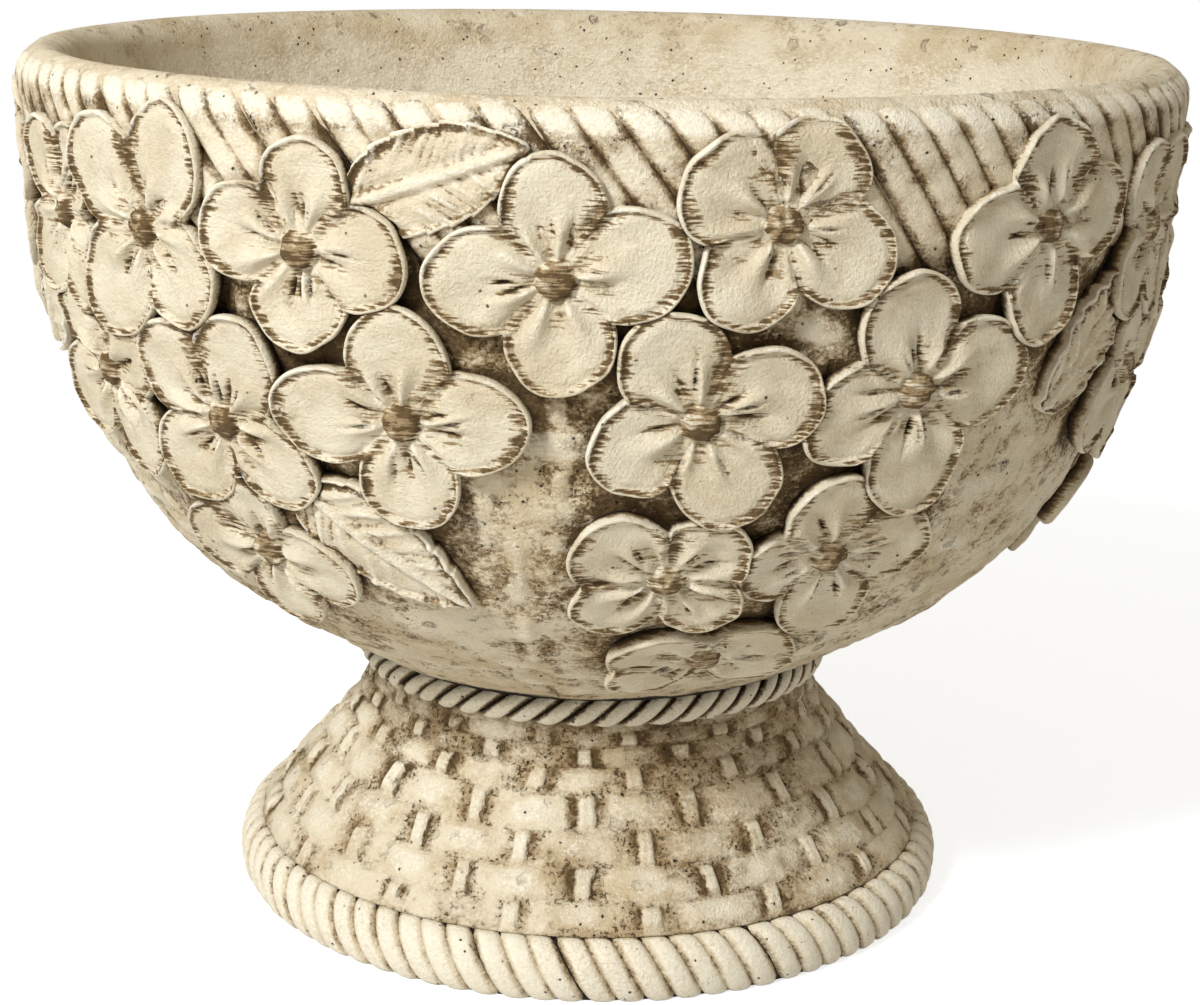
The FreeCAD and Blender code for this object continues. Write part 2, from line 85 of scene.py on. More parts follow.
# Flowers of one repeat: row, azimuth, share of the wall's height, and for each petal its
# heading and shares of the reach and the width. A flower lies over those listed after it.
FLOWERS = (
    (UPPER, 14.9, 0.929, ((147, 0.90, 1.06), (62, 0.85, 1.00), (335, 0.96, 0.98), (237, 0.88, 0.95))),
    (UPPER, -3.5, 0.845, ((181, 0.99, 1.00), (92, 1.00, 0.94), (15, 1.05, 1.03), (275, 0.88, 0.98))),
    (UPPER, -25.6, 0.868, ((166, 0.90, 0.95), (79, 0.92, 0.90), (357, 0.94, 0.97), (268, 0.79, 0.94))),
    (UPPER, -43.3, 0.868, ((135, 1.14, 1.06), (59, 1.15, 1.03), (322, 0.97, 0.97), (230, 1.12, 1.10))),
    (UPPER, 42.2, 0.903, ((98, 0.87, 1.08), (12, 0.96, 0.92), (268, 0.96, 1.03), (186, 1.10, 1.02))),
    (UPPER, 62.4, 0.866, ((128, 0.92, 0.94), (48, 0.92, 0.94), (308, 0.92, 0.94), (226, 0.92, 0.94))),
    (SIDE, 9.0, 0.631, ((116, 1.00, 1.00), (22, 0.99, 1.03), (297, 0.96, 1.03), (203, 0.90, 0.97))),
    (SIDE, 29.2, 0.663, ((108, 1.07, 1.06), (12, 1.06, 1.10), (279, 1.11, 1.06), (195, 1.04, 0.97))),
    (SIDE, -17.2, 0.614, ((177, 1.10, 0.96), (88, 0.97, 1.00), (5, 1.04, 0.99), (273, 0.92, 0.94))),
    (SIDE, -36.7, 0.574, ((133, 1.01, 0.97), (62, 1.07, 1.00), (328, 0.99, 0.94), (222, 0.99, 1.00))),
    (SIDE, 66.0, 0.612, ((118, 1.00, 1.00), (30, 1.00, 1.00), (300, 1.00, 1.00), (208, 1.00, 1.00))),
    (LOWER, 7.4, 0.358, ((143, 0.92, 0.97), (47, 0.78, 0.87), (322, 0.71, 0.81), (212, 0.82, 0.84))),
    (LOWER, 24.4, 0.386, ((104, 0.86, 0.97), (184, 0.82, 0.77), (12, 0.89, 0.97), (280, 0.94, 0.94))),
    (LOWER, -36.9, 0.345, ((100, 0.88, 0.94), (175, 0.90, 0.94), (350, 0.90, 0.94), (265, 0.85, 0.90))),
    (LOWER, 14.4, 0.180, ((165, 0.86, 0.90), (30, 0.80, 0.87), (345, 0.85, 0.85), (215, 0.85, 0.87))),
)
# Flowers whose upper petals have only this share of their reach, and which are flatter by
# this much near the rim, than in the other thirds
LOWER_TIPS = {"flower_upper_2_04": (0.68, 1.3), "flower_upper_3_05": (0.88, 0.6)}
# Leaves of one repeat: azimuth, share of the wall's height, heading, and shares of the
# length and the width.
LEAVES = (
    (-13.2, 0.990, 20.0, 0.87, 0.86),
    (-21.4, 0.391, 319.0, 1.0, 1.0),
    (52.8, 0.715, 49.0, 0.97, 0.83),
)


# Shapes worked out on arrays of points


def smooth(value, low, high):
    """0 below low, 1 above high and a soft step between; low may be the greater."""
    share = np.clip((value - low) / (high - low), 0.0, 1.0)
    return share * share * (3.0 - 2.0 * share)


def bell(value, width):
    """1 at nothing, fading over about this width."""
    return np.exp(-((value / width) ** 2))


def lumps(points, size, seed, waves=9):
    """Soft uneven swelling between about -1 and 1, with lumps of this size."""
    rng = np.random.default_rng(seed)
    total = np.zeros(points.shape[:-1])
    for _ in range(waves):
        way = rng.normal(size=3)
        way *= rng.uniform(0.6, 1.5) * math.pi / (size * np.linalg.norm(way))
        total += np.sin(points @ way + rng.uniform(0.0, 2.0 * math.pi))
    return total / math.sqrt(0.5 * waves) / 1.6


def turned(radius, azimuth, height):
    """Points on the pot from radius, azimuth and height."""
    angle = np.radians(azimuth)
    return np.stack(
        np.broadcast_arrays(radius * np.sin(angle), -radius * np.cos(angle), height), -1
    )


def fade(gap, reach):
    """1 inside an edge, fading outside it over about this distance."""
    return np.exp(-np.maximum(gap, 0.0) / reach)


def rough(points, *layers):
    """Lumps of several sizes together, from the size, seed and height of each."""
    return sum(lumps(points, size, seed) * high for size, seed, high in layers)


def patches(points, size, seed, low, high):
    """Soft patches, 0 to 1, from lumps of this size between two levels."""
    return smooth(lumps(points, size, seed), low, high)


def half_turn(azimuth):
    """The same azimuth, counted from -180 to 180."""
    return (azimuth + 180.0) % 360.0 - 180.0


def arc_line(centre_r, centre_z, radius, low, high, steps):
    """Points of an arc of the wall between two heights."""
    height = np.linspace(low, high, steps)
    return centre_r + np.sqrt(radius**2 - (height - centre_z) ** 2), height


class Profile:
    """A smooth outline of the pot, read by the length along it."""

    def __init__(self, radius, height):
        self.radius, self.height = np.array(radius, float), np.array(height, float)
        steps = np.hypot(np.diff(self.radius), np.diff(self.height))
        self.along = np.concatenate([[0.0], np.cumsum(steps)])
        self.length = self.along[-1]
        run, rise = np.gradient(self.radius), np.gradient(self.height)
        size = np.hypot(run, rise)
        self.out_r, self.out_z = rise / size, -run / size

    def at(self, along):
        """Radius, height and outward direction at a length."""
        return tuple(
            np.interp(along, self.along, line)
            for line in (self.radius, self.height, self.out_r, self.out_z)
        )

    def length_at(self, height):
        """The length at which the outline reaches a height."""
        return np.interp(height, self.height, self.along)

    def place(self, azimuth, along, stand):
        """Points this far off the outline."""
        radius, height, out_r, out_z = self.at(along)
        return turned(radius + stand * out_r, azimuth, height + stand * out_z)


def wall_profile():
    """The bare outside wall, from the ledge up to the lip."""
    slope_r = np.linspace(LEDGE[0], SLOPE_END[0], 12)
    slope_z = np.linspace(LEDGE[1], SLOPE_END[1], 12)
    middle_r, middle_z = arc_line(*MIDDLE_ARC, SLOPE_END[1], MIDDLE_END_Z, 30)
    upper_r, upper_z = arc_line(*UPPER_ARC, MIDDLE_END_Z, UPPER_END_Z, 40)
    rise = np.linspace(0.0, 1.0, 12)[1:]
    top_r = upper_r[-1] + (LIP_STAND - upper_r[-1]) * rise
    top_z = UPPER_END_Z + (LIP_Z - UPPER_END_Z) * rise
    radius = np.concatenate([slope_r, middle_r[1:], upper_r[1:], top_r])
    height = np.concatenate([slope_z, middle_z[1:], upper_z[1:], top_z])
    return Profile(radius, height)


wall = wall_profile()


def relief_profile():
    """What the flowers and leaves stand on: the wall and reeds, rounded over the lip."""
    below = wall.height < 283.0
    low, kept = wall.height[below], wall.radius[below]
    over_reeds = kept + 0.8 * smooth(low, 240.0, 256.0)
    radius = np.concatenate([over_reeds, [195.3, 195.2, 194.4, 193.2, 191.6]])
    height = np.concatenate([low, [284.5, 288.0, 291.0, 293.4, 295.2]])
    return Profile(radius, height)


bed = relief_profile()


def offset(piece, azimuth, along):
    """How far points of the wall are from a piece's middle, sideways and up."""
    across = np.radians(half_turn(azimuth - piece.azimuth)) * bed.at(along)[0]
    return across, along - piece.along


def oval(tip, half, off, start):
    """How far an oval petal reaches, this many degrees off its own heading."""
    middle, long = 0.5 * (tip + start), 0.5 * (tip - start)
    angle = np.radians(np.minimum(np.abs(off), 89.0))
    square = (np.cos(angle) / long) ** 2 + (np.sin(angle) / half) ** 2
    slope = middle * np.cos(angle) / long**2
    left = slope**2 - square * ((middle / long) ** 2 - 1.0)
    return np.where(left > 0.0, (slope + np.sqrt(np.maximum(left, 0.0))) / square, 0.0)


class Flower:
    """Where a flower is and the outline of its four petals."""

    def __init__(self, azimuth, share, petals, flatter, seed):
        self.azimuth, self.seed = azimuth, seed
        self.flatter, self.rim_drop = flatter, FLOWER_RIM_DROP + 0.6 * flatter
        self.crisp = 0.30 + 0.70 * float(smooth(share, 0.10, 0.62))
        self.along = float(bed.length_at(LEDGE_Z + share * (RELIEF_TOP_Z - LEDGE_Z)))
        heading, reach, width = (np.array(line, float) for line in zip(*sorted(petals)))
        self.headings, self.tips = heading, PETAL_REACH * reach
        self.halves = 0.5 * PETAL_WIDTH * width
        self.seams = np.array([self.seam_after(petal) for petal in range(4)])
        self.starts = np.roll(self.seams, 1)
        self.starts[0] -= 360.0
        rng = np.random.default_rng(seed)
        self.phases = rng.uniform(0.0, 2.0 * math.pi, 6)
        self.tone = rng.uniform(0.0, 1.0, 4)
        self.tilt = rng.choice((-1.0, 1.0)) * rng.uniform(0.5, 1.0, 4)

    def seam_after(self, petal):
        """Heading at which a petal's edge meets that of the next one round."""
        after = (petal + 1) % 4
        low = self.headings[petal]
        high = self.headings[after] + (360.0 if after == 0 else 0.0)
        line = np.linspace(low, high, 721)
        own = oval(self.tips[petal], self.halves[petal], line - low, PETAL_ROOT)
        other = oval(self.tips[after], self.halves[after], high - line, PETAL_ROOT)
        return float(line[np.argmin(np.abs(own - other))])

    def local(self, azimuth, along):
        """Points of the wall as distance and heading from the flower's middle."""
        across, up = offset(self, azimuth, along)
        return np.hypot(across, up), np.degrees(np.arctan2(up, across)) % 360.0

    def petal_at(self, heading):
        """Which petal a heading falls in, and how far across it, -1 to 1."""
        start = self.starts[0]
        turn = (heading - start) % 360.0
        which = np.searchsorted(self.seams - start, turn, side="right") % 4
        before, middle, after = (
            line[which] - start for line in (self.starts, self.headings, self.seams)
        )
        half = np.where(turn < middle, middle - before, after - middle)
        return which, np.clip((turn - middle) / half, -1.0, 1.0)

    def reach(self, heading):
        """How far the flower's outline is from its middle."""
        found = np.zeros(np.shape(heading))
        for middle, tip, half in zip(self.headings, self.tips, self.halves):
            off = half_turn(heading - middle)
            found = np.maximum(found, oval(tip, half, off, PETAL_START) * (np.abs(off) < 85.0))
        found = 0.5 * (found + VALLEY + np.sqrt((found - VALLEY) ** 2 + 4.0))
        angle = np.radians(heading)
        wave = np.zeros(np.shape(heading))
        for size, times, phase in zip((0.40, 0.30, 0.16), (5.0, 9.0, 17.0), self.phases):
            wave += size * np.sin(times * angle + phase)
        return found + wave * smooth(found, 17.0, 27.0)

    def outside(self, azimuth, along):
        """Distance of wall points outside the outline, below 0 inside it."""
        distance, heading = self.local(azimuth, along)
        return distance - self.reach(heading)


class Leaf:
    """Where a leaf is and its toothed outline."""

    def __init__(self, azimuth, share, heading, length_share, width_share, seed):
        self.azimuth, self.heading, self.seed = azimuth, heading, seed
        self.flatter, self.rim_drop = 0.0, LEAF_RIM_DROP
        self.along = float(bed.length_at(LEDGE_Z + share * (RELIEF_TOP_Z - LEDGE_Z)))
        self.length = LEAF_LENGTH * length_share
        self.half = 0.5 * LEAF_WIDTH * width_share
        self.phases = np.random.default_rng(seed).uniform(0.0, 2.0 * math.pi, 4)

    def half_width(self, share):
        """Half the leaf's width along it, teeth and all."""
        share = np.clip(share, 0.0, 1.0)
        body = np.sin(math.pi * share**0.78) ** 0.78
        teeth = (share * 8.0 + self.phases[0]) % 1.0
        wave = 0.03 * np.sin(11.0 * share + self.phases[1])
        return self.half * body * (1.0 + wave - 0.06 * teeth * smooth(share, 0.02, 0.2))

    def outside(self, azimuth, along):
        """Distance of wall points outside the outline, below 0 inside it."""
        across, up = offset(self, azimuth, along)
        angle = math.radians(self.heading)
        run = across * math.cos(angle) + up * math.sin(angle)
        side = -across * math.sin(angle) + up * math.cos(angle)
        share = run / self.length + 0.5
        beyond = np.maximum(np.abs(run) - 0.5 * self.length, 0.0)
        return np.abs(side) - self.half_width(share) + beyond


def garland():
    """Every flower and leaf of the pot by its CAD node's name, those on top first."""
    found = {}
    for index, (row, azimuth, share, petals) in enumerate(FLOWERS, 1):
        for repeat in range(REPEATS):
            name = "flower_%s_%d_%02d" % (row, repeat + 1, index)
            kept, flatter = LOWER_TIPS.get(name, (1.0, 0.0))
            own = [
                (heading, reach * (kept if heading < 160.0 else 1.0), width)
                for heading, reach, width in petals
            ]
            turn = azimuth + 360.0 / REPEATS * repeat
            found[name] = Flower(turn, share, own, flatter, 100 * index + repeat)
    for index, (azimuth, share, *form) in enumerate(LEAVES, len(FLOWERS) + 1):
        for repeat in range(REPEATS):
            turn = azimuth + 360.0 / REPEATS * repeat
            name = "leaf_%d_%02d" % (repeat + 1, index)
            found[name] = Leaf(turn, share, *form, 100 * index + repeat)
    return found


relief = garland()


def clear_of(azimuth, along, pieces, reach=60.0):
    """Distance from wall points to the nearest and second nearest of these outlines."""
    first, second = (np.full(azimuth.shape, reach) for _ in range(2))
    for piece in pieces:
        close = np.hypot(*offset(piece, azimuth, along)) < reach
        if close.any():
            gap = piece.outside(azimuth[close], along[close])
            second[close] = np.minimum(second[close], np.maximum(first[close], gap))
            first[close] = np.minimum(first[close], gap)
    return first, second


# Meshes from arrays


def make_mesh(name, points, quads, triangles=(), **fields):
    """A smooth mesh from points in millimetres, its faces and its point attributes."""
    triangles = np.array(triangles, int).reshape(-1, 3)
    corners = np.concatenate([quads.ravel(), triangles.ravel()]).astype(np.int32)
    starts = [4 * np.arange(len(quads)), 4 * len(quads) + 3 * np.arange(len(triangles))]
    starts = np.concatenate(starts).astype(np.int32)
    mesh = bpy.data.meshes.new(name)
    mesh.vertices.add(len(points))
    mesh.vertices.foreach_set("co", (points * MM).astype(np.float32).ravel())
    mesh.loops.add(len(corners))
    mesh.loops.foreach_set("vertex_index", corners)
    mesh.polygons.add(len(starts))
    mesh.polygons.foreach_set("loop_start", starts)
    mesh.update(calc_edges=True)
    mesh.validate()
    mesh.shade_smooth()
    for field, values in fields.items():
        attribute = mesh.attributes.new(field, "FLOAT", "POINT")
        attribute.data.foreach_set("value", np.asarray(values, np.float32).ravel())
    return mesh


def put(name, data):
    """A new object in the scene."""
    item = bpy.data.objects.new(name, data)
    bpy.context.scene.collection.objects.link(item)
    return item


def show(name, mesh, material, node):
    """Put a finished piece in the scene in place of its CAD node."""
    piece = put(name, mesh)
    if not mesh.materials:
        mesh.materials.append(material)
    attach(piece, "root")
    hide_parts(node)
    return piece


def tube_faces(rows, columns, ring=False):
    """Quads of a grid closed round its columns, and along its rows when it is a ring."""
    row = np.arange(rows if ring else rows - 1)[:, None]
    column = np.arange(columns)[None, :]
    after, above = (column + 1) % columns, (row + 1) % rows
    corners = ((row, column), (row, after), (above, after), (above, column))
    return np.stack([r * columns + c for r, c in corners], -1).reshape(-1, 4)


def azimuths(rows, columns):
    """The azimuth of every point of a grid that goes all round the pot."""
    return np.broadcast_to(np.arange(columns) * 360.0 / columns, (rows, columns))


def turned_line(line, columns):
    """A line of (radius, height) turned all round the pot."""
    line = np.array(line, float)
    return turned(line[:, :1], azimuths(len(line), columns), line[:, 1:])


def closed_mesh(name, points, **fields):
    """A mesh from a grid of points that closes on itself both ways."""
    return make_mesh(name, points.reshape(-1, 3), tube_faces(*points.shape[:2], True), **fields)


def tube_caps(rows, columns):
    """Triangles that close the two ends of a tube."""
    last = (rows - 1) * columns
    caps = [(0, i + 1, i) for i in range(1, columns - 1)]
    return np.array(caps + [(last, last + i, last + i + 1) for i in range(1, columns - 1)])


def join_fields(shapes, axis, **fields):
    """Each field as one array from its values on the two parts of a grid."""
    return {
        name: np.concatenate([np.broadcast_to(v, shape) for v, shape in zip(parts, shapes)], axis)
        for name, parts in fields.items()
    }


# Shader trees


class Socket:
    """A node's output that takes part in Python sums."""

    def __init__(self, tree, socket):
        self.tree, self.socket = tree, socket

    def sum(self, operation, first, second):
        """A Math node on two values."""
        settings = {"operation": operation}
        return add_node(self.tree, "ShaderNodeMath", settings, {0: first, 1: second})

    def __add__(self, other):
        return self.sum("ADD", self, other)

    def __sub__(self, other):
        return self.sum("SUBTRACT", self, other)

    def __rsub__(self, other):
        return self.sum("SUBTRACT", other, self)

    def __mul__(self, other):
        return self.sum("MULTIPLY", self, other)

    __radd__ = __add__
    __rmul__ = __mul__


def add_node(tree, kind, settings, values, output=0):
    """Any node, from its type, its settings and the values or links of its sockets."""
    node = tree.nodes.new(kind)
    for key, value in settings.items():
        setattr(node, key, value)
    for key, value in values.items():
        if isinstance(value, Socket):
            tree.links.new(value.socket, node.inputs[key])
        else:
            node.inputs[key].default_value = value
    return Socket(tree, node.outputs[output])


def end_tree(tree, kind, last):
    """The output node of a tree, fed by its last node."""
    tree.links.new(last.socket, tree.nodes.new(kind).inputs[0])


class Finish:
    """The shader tree of one material."""

    def __init__(self, name):
        self.material = bpy.data.materials.new(name)
        self.material.use_nodes = True
        self.tree = self.material.node_tree
        self.tree.nodes.clear()

    def node(self, kind, settings=None, values=None, output=0):
        return add_node(self.tree, kind, settings or {}, values or {}, output)

    def place(self, across=1.0, up=1.0):
        """Object coordinates, drawn out sideways where up is more than across."""
        values = {0: self.node("ShaderNodeTexCoord", output=3), 1: (across, across, up)}
        return self.node("ShaderNodeVectorMath", {"operation": "MULTIPLY"}, values)

    def noise(self, size, across=1.0, up=1.0, detail=3.0, rough=0.55):
        """Uneven tone with spots of about this size in millimetres, 0 to 1."""
        values = {"Vector": self.place(across, up), "Scale": 1000.0 / size}
        values.update(Detail=detail, Roughness=rough)
        return self.node("ShaderNodeTexNoise", {}, values)

    def spots(self, size):
        """Distance from scattered points about this far apart in millimetres."""
        values = {"Vector": self.place(), "Scale": 1000.0 / size, "Randomness": 1.0}
        return self.node("ShaderNodeTexVoronoi", {"feature": "F1"}, values)

    def field(self, name):
        """A value painted on the mesh."""
        return self.node("ShaderNodeAttribute", {"attribute_name": name}, {}, 2)

    def step(self, value, low, high):
        """Soft step from 0 to 1 between two values."""
        values = {"Value": value, "From Min": low, "From Max": high}
        return self.node("ShaderNodeMapRange", {"interpolation_type": "SMOOTHSTEP"}, values)

    def bare(self, operation, value):
        """A sum with one number: floor, round or absolute value."""
        return self.node("ShaderNodeMath", {"operation": operation}, {0: value})

    def woven(self, stakes):
        """Bars, their side lines of painted shade, hollows and strip edges of a weave round the pot."""
        point = self.node("ShaderNodeTexCoord", output=3)
        side, ahead = (self.node("ShaderNodeSeparateXYZ", {}, {0: point}, axis) for axis in (0, 1))
        turn = self.node("ShaderNodeMath", {"operation": "ARCTAN2"}, {0: side, 1: -1.0 * ahead})
        rise, pitch, weft = self.field("rise"), self.field("pitch"), self.field("weft")
        row = self.bare("FLOOR", rise)
        odd = row - 2.0 * self.bare("FLOOR", 0.5 * row)
        turns = 0.5 * (turn * (stakes / (2.0 * math.pi)) + self.field("sway") + odd)
        signed = 2.0 * (turns - self.bare("ROUND", turns)) * pitch
        # Distance from a stake in millimetres, and 0 to 1 from a strip's middle to its edge
        ragged = self.noise(3.4, detail=3.0, rough=0.6) - 0.5
        off = self.bare("ABSOLUTE", signed) + 3.0 * ragged
        level = self.bare("ABSOLUTE", 2.0 * (rise - row) - 1.0) + 0.5 * ragged
        broken = self.step(self.noise(9.0, detail=2.0), 0.36, 0.60)
        patchy = self.step(self.noise(15.0, detail=2.0), 0.40, 0.60)
        bar = self.step(off, 3.4, 2.2) * self.step(level, 1.10, 0.50)
        # Side lines of painted shade at each bar, darker on the right side, away from the light
        line = self.step(self.bare("ABSOLUTE", off - 3.2), 1.0, 0.1) * self.step(level, 1.0, 0.80)
        line = line * (0.35 + 0.65 * self.step(signed, -0.5, 0.5)) * broken
        hollow = self.step(off, 8.0, 3.4) * (1.0 - bar) * self.step(level, 1.15, 0.65)
        hollow = hollow * (0.40 + 0.60 * patchy)
        border = self.step(level, 0.80, 1.0) * (1.0 - bar) * self.step(off, 2.0, 5.0)
        border = border * self.step(pitch - off, 1.0, 6.5) * (0.3 + 0.7 * broken)
        return [part * weft for part in (bar, line, hollow, border)]

    def blend(self, factor, first, second):
        """Mix of two colours."""
        values = {0: factor, 6: first, 7: second}
        return self.node("ShaderNodeMix", {"data_type": "RGBA"}, values, 2)

    def finish(self, colour, roughness, normal, **constants):
        """Join the colour, roughness and normal to the stone's shader."""
        values = {"Base Color": colour, "Roughness": roughness, "Normal": normal}
        values.update(constants)
        shader = self.node("ShaderNodeBsdfPrincipled", {}, values)
        end_tree(self.tree, "ShaderNodeOutputMaterial", shader)
        return self.material


def colour(red, green, blue):
    """A colour written as it shows on a screen, 0 to 1, as the shader's linear one."""
    linear = (
        c / 12.92 if c < 0.04045 else ((c + 0.055) / 1.055) ** 2.4 for c in (red, green, blue)
    )
    return (*linear, 1.0)


CREAM = colour(0.91, 0.873, 0.78)
WARM_CREAM = colour(0.80, 0.725, 0.585)
FACE = colour(0.91, 0.877, 0.79)
FACE_SHADE = colour(0.81, 0.755, 0.635)
PALE = colour(0.97, 0.95, 0.885)
TAN = colour(0.60, 0.505, 0.355)
UMBER = colour(0.37, 0.29, 0.175)
DEEP = colour(0.10, 0.075, 0.045)
BUMP_DEPTH = 0.0007


def stone(
    name, washed=0.0, grain=1.0, ground=CREAM, second=WARM_CREAM, mottle=0.6, freckled=0.5,
    brush=0.2, ragged=1.0, stakes=0, pitted=0.0, stroked=0.0, blotted=0.0, dented=0.0
):
    """Cast stone: a light cream ground, tan to near-black in the hollows where the brush left its
    colour and where shade is painted, chalky spots and painted highlights, and pits.
    """
    f = Finish(name)
    wash, deep, pale = f.field("wash"), f.field("deep"), f.field("pale")
    lively = 1.0 - 0.85 * f.field("calm")

    # Uneven tones: brush strokes drawn out sideways, specks, patches, clouds and crumbs
    comb = f.step(f.noise(1.05 - 0.30 * stroked, brush, 1.0, 1.5, 0.5), 0.33, 0.67)
    streak = f.step(f.noise(3.0, brush, 1.0, 3.0, 0.60), 0.33, 0.67)
    speck = f.step(f.noise(1.2, detail=3.0, rough=0.65), 0.30, 0.70)
    patch = f.step(f.noise(10.0, 0.8, 1.0, 5.0, 0.62), 0.30, 0.70)
    cloud = f.step(f.noise(30.0, 0.9, 1.3, 5.0, 0.6), 0.30, 0.70)
    blot = f.step(f.noise(4.6, 0.7, 1.0, 4.0, 0.62), 0.42, 0.60)
    crumb = f.step(f.noise(1.4, detail=3.0, rough=0.75), 0.535, 0.61)
    height = 0.9 * f.noise(1.0, detail=4.0, rough=0.7) + 0.10 * speck + 0.45 * patch
    height = height - 0.30 * blotted * blot
    near_bars = 0.0
    if stakes:
        bar, line, hollow, border = f.woven(stakes)
        # The weave's hollows, strip edges and bar side lines take wash and painted shade; the bars take
        # painted highlight
        wash = wash + 0.66 * hollow + 0.22 * border + 0.30 * line - 0.14 * bar
        deep = deep + 0.55 * line * (0.15 + speck)
        pale = pale + 0.34 * bar
        near_bars = hollow + 0.5 * border
        height = height + 0.3 * bar - 1.2 * line - 0.25 * border

    # The ground, then the wash and painted shade from tan to nearly black, then chalky spots and
    # painted highlights
    mottled = f.step(0.50 * cloud + 0.32 * patch + 0.18 * speck, 0.25, 0.80) * mottle
    tone = f.blend(mottled, ground, second)
    tone = f.blend(comb * lively * 0.16, tone, second)
    combed = (0.18 + 0.82 * f.step(wash, 0.04, 0.35)) * (0.40 + 0.50 * stroked)
    strokes = combed * (comb - 0.5) + 0.36 * (streak - 0.5) + 0.24 * (speck - 0.5)
    blots = blotted * (0.36 * (blot - 0.5) + 0.14 * (speck - 0.5)) * lively
    uneven = strokes * lively * ragged + 0.30 * (patch - 0.5) + blots
    amount = wash + uneven + washed
    even, hard = 1.0 - ragged, 0.12 * stroked
    tan = f.step(amount, 0.26 - 0.30 * even, 0.66 - hard + 0.35 * even)
    darker = f.step(amount + 0.35 * deep, 0.58 + hard + 0.10 * even, 1.02 - hard + 0.25 * even)
    darkest = f.step(deep + 0.35 * uneven + 0.22 * hard * amount, 0.40, 0.90)
    chalk = f.step(pale + 0.26 * (comb - 0.5) + 0.34 * (speck - 0.5), 0.30, 0.85)
    layers = ((tan * 0.88, TAN), (darker * 0.92, UMBER), (darkest, DEEP), (chalk * 0.85, PALE))
    for factor, paint in layers:
        tone = f.blend(factor, tone, paint)

    # Crumbs of wash, dents, and pits painted near-black as the shade inside them
    gathered = f.step(patch + 0.9 * wash - 0.6 * pale + near_bars, 0.70, 1.20)
    crumb = crumb * gathered * lively * freckled
    dent = f.step(f.spots(12.0) + 0.24 * (blot - 0.5) + 0.10 * (speck - 0.5), 0.15, 0.04)
    dent = dent * dented * lively
    pit = f.step(f.spots(4.4) + 0.07 * (speck - 0.5), 0.125, 0.085)
    pit = pit * f.step(patch, 0.72 - pitted, 0.90 - pitted)
    layers = ((crumb, UMBER), (dent * (0.10 + 0.6 * speck), UMBER), (pit * 0.92, DEEP))
    for factor, paint in layers:
        tone = f.blend(factor, tone, paint)

    height = height - 0.55 * crumb - 1.1 * pit - 1.2 * dent
    values = {"Strength": 1.0, "Distance": BUMP_DEPTH * grain, "Height": height}
    bump = f.node("ShaderNodeBump", {}, values)
    return f.finish(tone, 0.74 + 0.14 * speck, bump, **{"Specular IOR Level": 0.25})


bowl_stone = stone(
    "bowl_stone_finish", grain=1.5, mottle=0.8, freckled=1.0, brush=0.5, ragged=0.8,
    stakes=BOWL_STAKES, pitted=0.42, blotted=0.8, dented=1.0,
)
flower_stone = stone(
    "flower_stone_finish", washed=-0.10, grain=1.5, ground=FACE, second=FACE_SHADE, mottle=0.7,
    freckled=0.4, brush=0.13, stroked=1.0,
)
leaf_stone = stone(
    "leaf_stone_finish", washed=-0.08, grain=1.4, ground=FACE, mottle=0.5, brush=0.45, stroked=0.3
)
foot_stone = stone(
    "foot_stone_finish", grain=1.5, mottle=0.85, freckled=1.0, brush=0.6, ragged=0.4,
    stakes=FOOT_STAKES, pitted=0.3, blotted=0.35, dented=0.4,
)
reed_stone = stone(
    "reed_stone_finish", washed=-0.11, grain=1.4, freckled=0.8, brush=0.26, ragged=0.8,
    pitted=0.3, blotted=0.3, stroked=0.35,
)
rope_stone = stone(
    "rope_stone_finish", washed=-0.12, grain=1.3, mottle=0.55, freckled=0.8, brush=0.7, ragged=0.6,
    pitted=0.25, blotted=0.3,
)


# Woven faces of the bowl and foot
BOWL_GRID = (120, 640)
FOOT_GRID = (96, 880)
PITCH_INSIDE = 9.0


def weave(stake_turns, rise, pitch, width):
    """Basket weave as stand, wash and pale fields: wide strips over every other stake, darker beside
    the stakes and at the strips' edges with tan and painted shade, and lighter on the stakes and the
    strips' crowns with painted highlights.
    """
    row = np.floor(rise)
    turns = 0.5 * (stake_turns + row % 2.0)
    off = 2.0 * np.abs(turns - np.round(turns))
    across, level = off * pitch, np.abs(2.0 * (rise - row) - 1.0)
    bulge = np.sin(0.5 * math.pi * np.clip(off, 0.0, 1.0)) ** 0.9
    crown = 1.0 - 0.62 * level**3.5
    bar = np.exp(-((across / (0.5 * width)) ** 6)) * crown
    flank = bell(across - 0.95 * width, 0.55 * width) * (1.0 - 0.5 * level**4)
    wash = 0.26 * flank * (1.0 - bar) + 0.10 * level**5 * bulge
    pale = 0.30 * bar + 0.62 * smooth(bulge * crown, 0.66, 0.98)
    return STRIP_BULGE * bulge * crown + STAKE_STAND * bar, wash, pale


# Inside of the bowl from the lip to the floor, and the drain and stub under it
LIP = (
    (194.7, 288.0), (194.6, 290.6), (193.9, 293.4), (192.5, 295.8), (190.4, 297.4),
    (187.8, 297.8), (184.8, 297.0), (182.2, 295.2), (180.3, 292.4), (179.1, 288.6),
)
INSIDE = (
    (177.7, 280.0), (174.9, 262.0), (171.3, 238.0), (167.2, 218.0), (161.6, 197.0), (154.6, 179.6),
    (146.6, 164.5), (138.0, 152.5), (127.6, 142.0), (111.0, 131.6), (88.0, 118.8), (70.0, 108.9),
)
FLOOR = (
    (64.0, 105.8), (58.0, BOWL_FLOOR_Z), (36.0, BOWL_FLOOR_Z), (DRAIN_RADIUS + 1.0, BOWL_FLOOR_Z),
    (DRAIN_RADIUS, BOWL_FLOOR_Z - 1.0), (DRAIN_RADIUS, 92.0), (DRAIN_RADIUS, 80.4),
    (40.0, 80.4), (STUB_RADIUS - 0.4, 80.4), (STUB_RADIUS - 0.4, 84.0), (STUB_RADIUS - 0.4, 88.0),
)


